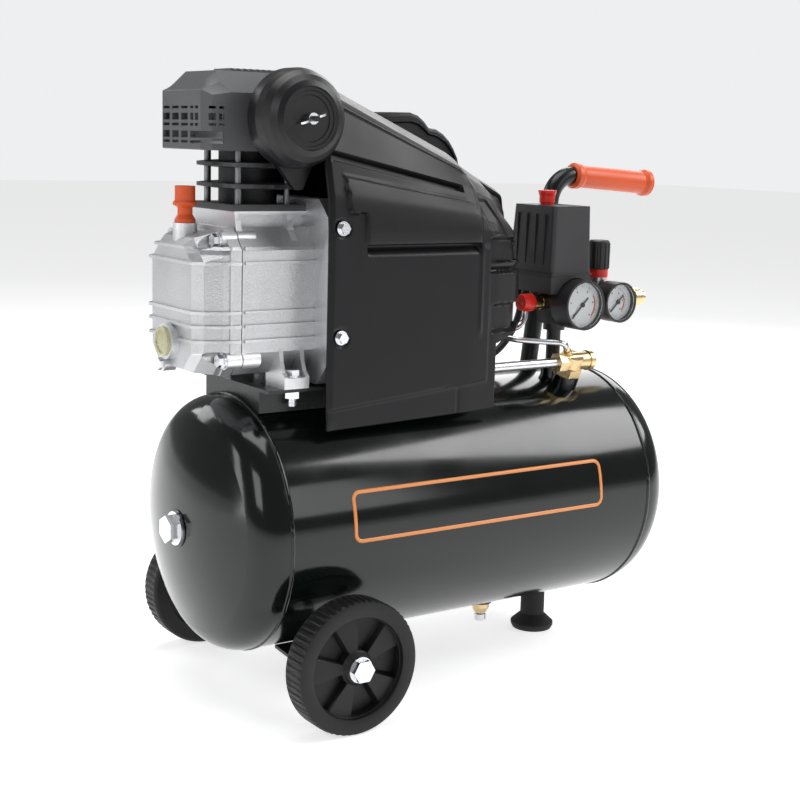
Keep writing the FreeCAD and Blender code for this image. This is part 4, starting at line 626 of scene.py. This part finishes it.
def wheel_mesh(node, side):
    """A moulded wheel: ribbed tread, flat rim, five wedge spokes between five deep pockets."""
    count = 360
    turn = np.linspace(0, 2 * math.pi, count, endpoint=False)
    rib = 0.5 + 0.5 * np.sign(np.sin(turn * RIBS))
    wave = (turn * SPOKES / (2 * math.pi) + 0.55) % 1.0
    spoke = step(np.abs(wave - 0.5), 0.215, 0.285)
    rows = []

    def ring(radius, depth):
        rows.append(np.stack([radius * np.cos(turn), radius * np.sin(turn), depth * np.ones(count)], axis=-1))

    for radius, depth in WHEEL_OUTLINE:
        tread = 5 <= depth <= 24.6 and radius > 60
        ring(radius - RIB_DEPTH * rib if tread else radius, depth)
    ring(WEB_RADIUS + 0.6, WEB_DEPTH)
    for radius in np.linspace(WEB_RADIUS, HUB_RADIUS, 20):
        fall = 1.5 * spoke * ((radius - HUB_RADIUS) / (WEB_RADIUS - HUB_RADIUS))
        ring(radius, WEB_DEPTH - POCKET_DEPTH * (1 - spoke) - fall)
    for radius, depth in HUB_OUTLINE:
        ring(radius, depth)
    rows.append(rows[0])
    points = np.array(rows)
    middle = centre(node)
    low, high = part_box(node)
    inner = high.y if side < 0 else low.y
    placed = np.stack([middle.x + points[..., 0] * MM, inner + side * points[..., 2] * MM,
                       middle.z + points[..., 1] * MM], axis=-1)
    return tidy_mesh(grid_mesh("wheel", placed, wrap=True))


for body, side in (("near_wheel", -1), ("far_wheel", 1)):
    label = "near" if side < 0 else "far"
    moulded = piece(f"moulded_wheel_{label}", wheel_mesh(f"wheel_{label}", side), wheel_plastic, body,
                    32)
    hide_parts(f"wheel_{label}")


# ---- painted outline on the tank -------------------------------------------------------------

def decal_mesh():
    """A rounded rectangular line wrapped on the front of the tank, a hair proud of the paint."""
    radius, half, rise, corner, stroke = 123.18, 151.5, 24.6, 9.0, 3.6
    middle_turn = math.radians(10.6)
    inner, outer = [], []
    for quadrant, (sx, sy) in enumerate(((1, 1), (-1, 1), (-1, -1), (1, -1))):
        for k in range(13):
            angle = math.radians(90 * quadrant + 90 * k / 12)
            for ring, reach in ((inner, corner - stroke), (outer, corner)):
                ring.append((sx * (half - corner) + reach * math.cos(angle),
                             sy * (rise - corner) + reach * math.sin(angle)))
    rings = []
    for ring in (inner, outer):
        wrapped = []
        for (x0, s0), (x1, s1) in zip(ring, ring[1:] + ring[:1]):
            for k in range(10):
                x = x0 + (x1 - x0) * k / 10
                turn = middle_turn + (s0 + (s1 - s0) * k / 10) / radius
                wrapped.append(tuple(at(x, -radius * math.cos(turn), TANK_AXIS + radius * math.sin(turn))))
        rings.append(wrapped)
    return tidy_mesh(grid_mesh("front_outline", np.array(rings), wrap=True))


outline = piece("front_outline", decal_mesh(), decal_ink, "base", 60)
leaf = outline.modifiers.new("leaf", "SOLIDIFY")
leaf.thickness = 0.00012
leaf.offset = 0


# ---- gauge scales -----------------------------------------------------------------------------

def bars(name, boxes, bevel=0.0):
    """One mesh of small bevelled bars: each a centre, three half sizes and a turn about Y."""
    work = bmesh.new()
    for middle, half, turn in boxes:
        made = bmesh.ops.create_cube(work, size=2)["verts"]
        bmesh.ops.scale(work, vec=half, verts=made)
        bmesh.ops.rotate(work, matrix=Matrix.Rotation(turn, 3, "Y"), verts=made)
        bmesh.ops.translate(work, vec=middle, verts=made)
    if bevel:
        bmesh.ops.bevel(work, geom=work.edges[:], offset=bevel, segments=2, affect="EDGES")
    mesh = bpy.data.meshes.new(name)
    work.to_mesh(mesh)
    work.free()
    return mesh


port = centre("coupler_body").z      # the gauges' height
# For each gauge: x of its middle, y of its dial's face, and the dial's radius in mm.
GAUGES = {
    "large": (at(160, 0, 0).x, at(0, -67, 0).y, 23.0),
    "small": (centre("regulator_body").x, at(0, -59, 0).y, 18.6),
}
SCALE_START, SCALE_SWEEP, SCALE_STEPS = -135, 270, 40      # degrees from the top
ARC_START, ARC_SWEEP, ARC_STEPS = 58, 74, 18
INK_LIFT = 0.00008                                         # in front of the dial's face
ARC_SECTION = ((6.2, 0.0002), (4.7, 0.0002), (4.7, 0.00002), (6.2, 0.00002))      # mm in from the rim, lift


def on_dial(label, radius, turn, lift):
    """A point at a radius in mm and a turn from the top, a lift in front of a gauge's dial."""
    dial_x, face_y, _ = GAUGES[label]
    return Vector((dial_x + radius * MM * math.sin(turn), face_y - lift, port + radius * MM * math.cos(turn)))


def scale_ticks(label, reach):
    """Bars for the scale: a longer and thicker one at each fourth step, a dot inside each eighth."""
    ticks = []
    for k in range(SCALE_STEPS + 1):
        turn = math.radians(SCALE_START + SCALE_SWEEP * k / SCALE_STEPS)
        length, half_width = (2.2, 0.00022) if k % 4 == 0 else (1.1, 0.00013)
        ticks.append((on_dial(label, reach - 2.6 - length / 2, turn, INK_LIFT),
                      (half_width, 0.00007, length * MM / 2), turn))
        if k % 8 == 0:
            ticks.append((on_dial(label, reach - 8.0, turn, INK_LIFT), (0.0006, 0.00007, 0.00085), 0.0))
    return ticks


def arc_mesh(label, reach):
    """The red arc at the upper end of the scale."""
    rows = []
    for k in range(ARC_STEPS + 1):
        turn = math.radians(ARC_START + ARC_SWEEP * k / ARC_STEPS)
        rows.append([tuple(on_dial(label, reach - inset, turn, lift)) for inset, lift in ARC_SECTION])
    return tidy_mesh(grid_mesh(f"{label}_arc", np.array(rows), wrap=True))


for label, (_, _, reach) in GAUGES.items():
    piece(f"{label}_gauge_scale", bars(f"{label}_scale", scale_ticks(label, reach)), dial_ink, "base",
          20)
    piece(f"{label}_gauge_red_arc", arc_mesh(label, reach), dial_red, "base", 20)


# ---- roof vents of the hood, ribs of the switch cover ----------------------------------------

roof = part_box("head_cover")[1].z
slats = []
for k in range(9):
    place = at(-222 + 6.4 * k, 3, 0) + Vector((0, 0, roof + 0.0012))
    slats.append((place, (0.0017, 0.019 - 0.0006 * abs(k - 4), 0.0019), 0.12))
slats.append((at(-196.4, 3, 0) + Vector((0, 0, roof + 0.0002)), (0.029, 0.0205, 0.0008), 0.0))
piece("hood_roof_slats", bars("roof_slats", slats, 0.0004), hood_plastic, "base", 30)

cover_low, cover_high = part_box("switch_cover")
cover_width, cover_depth, cover_height = (b - a for a, b in zip(cover_low, cover_high))
cover_x, cover_y, cover_z = ((a + b) / 2 for a, b in zip(cover_low, cover_high))
ridges = []
for k in range(4):
    place = Vector((cover_low.x + 0.0007, cover_low.y + cover_depth * (0.2 + 0.2 * k), cover_z + 0.002))
    ridges.append((place, (0.0008, 0.0007, cover_height * 0.36), 0.0))
piece("switch_cover_ribs", bars("switch_ribs", ridges, 0.0004), switch_plastic, "base", 30)


# ---- roots of the cylinder's fins, rim of the switch cover -----------------------------------

fin_low, fin_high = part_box("cylinder_barrel_fins")
barrel = centre("cylinder_barrel_fins")
FIN_HEIGHTS = (("lower", 0.4881), ("upper", 0.5071))
ROOT_SECTION = ((0.6, 0.0036), (0.8, 0.0027), (0.95, 0.0018), (0.95, -0.0018), (0.8, -0.0027), (0.6, -0.0036),
                (0.6, 0.0036))      # share of the fin's reach, half thickness


def squared(value):
    """A sine or cosine pushed outwards, which makes a circle a square with round corners."""
    return math.copysign(abs(value) ** 0.28, value)


def fin_mesh(height):
    """The thick root of a cooling fin, which thins towards its edge."""
    reach = (fin_high.x - fin_low.x) / 2 - 0.0004
    wide = (fin_high.y - fin_low.y) / 2 - 0.0004
    rows = []
    for share, thick in ROOT_SECTION:
        ring = []
        for k in range(96):
            turn = 2 * math.pi * k / 96
            ring.append((barrel.x + reach * share * squared(math.cos(turn)),
                         barrel.y + wide * share * squared(math.sin(turn)), height + thick))
        rows.append(ring)
    return tidy_mesh(grid_mesh("fin", np.array(rows), wrap=True))


for label, height in FIN_HEIGHTS:
    piece(f"fin_root_{label}", fin_mesh(height), barrel_black, "base", 30)

rim_z = cover_low.z + 0.003
rims = [
    (Vector((cover_low.x - 0.0004, cover_y, rim_z)), (0.0007, cover_depth / 2 + 0.0006, 0.0009), 0.0),
    (Vector((cover_x, cover_low.y - 0.0004, rim_z)), (cover_width / 2 + 0.0006, 0.0007, 0.0009), 0.0),
]
piece("switch_cover_rim", bars("switch_rim", rims, 0.0003), switch_plastic, "base", 30)


# ---- weld seams round the tank ---------------------------------------------------------------

WELD_RADIUS = 122.6
BEAD_HEIGHT, BEAD_HALF_WIDTH = 1.45, 2.2


def uneven(rng, count, amount, width):
    """A row of random values, evened out over a width."""
    return np.convolve(rng.normal(0, amount, count), np.ones(width) / width, mode="same")


def weld_mesh(x):
    """An uneven weld bead round the tank, a row of overlapping ripples."""
    rng = np.random.default_rng(7)
    count, around = 720, 10
    turn = np.linspace(0, 2 * math.pi, count, endpoint=False)
    ripple = 0.22 * np.abs(np.sin(turn * 170)) + uneven(rng, count, 0.16, 5)
    drift = uneven(rng, count, 0.6, 25)
    rows = []
    for k in range(around):
        angle = 2 * math.pi * k / around
        radius = WELD_RADIUS + (BEAD_HEIGHT + ripple) * math.sin(angle)
        offset = (BEAD_HALF_WIDTH + 0.5 * ripple) * math.cos(angle) + drift
        rows.append(np.stack([MIDDLE + (x + offset) * MM, radius * MM * np.cos(turn),
                              TANK_AXIS * MM + radius * MM * np.sin(turn)], axis=-1))
    rows.append(rows[0])
    return tidy_mesh(grid_mesh("weld", np.array(rows), wrap=True))


for label, x in (("front", -216), ("rear", 216)):
    piece(f"tank_weld_{label}", weld_mesh(x), paint, "base", 60)


# ---- floor -----------------------------------------------------------------------------------

FLOOR_REACH = 14
floor_corners = [(sx * FLOOR_REACH, sy * FLOOR_REACH, 0) for sx, sy in ((-1, -1), (1, -1), (1, 1), (-1, 1))]
floor_mesh = bpy.data.meshes.new("floor")
floor_mesh.from_pydata(floor_corners, [], [(0, 1, 2, 3)])
floor = bpy.data.objects.new("floor", floor_mesh)
scene.collection.objects.link(floor)
# the paper gives off some light, which keeps the floor pale all round the part
paper = surface("floor_paper", (0.8, 0.8, 0.805), rough=0.9, grain=300, bump=0.02, spread=0.01,
                Specular_IOR_Level=0.1, Emission_Color=(1, 1, 1, 1), Emission_Strength=0.64)
floor_mesh.materials.append(paper)

scene.view_settings.view_transform = "Standard"
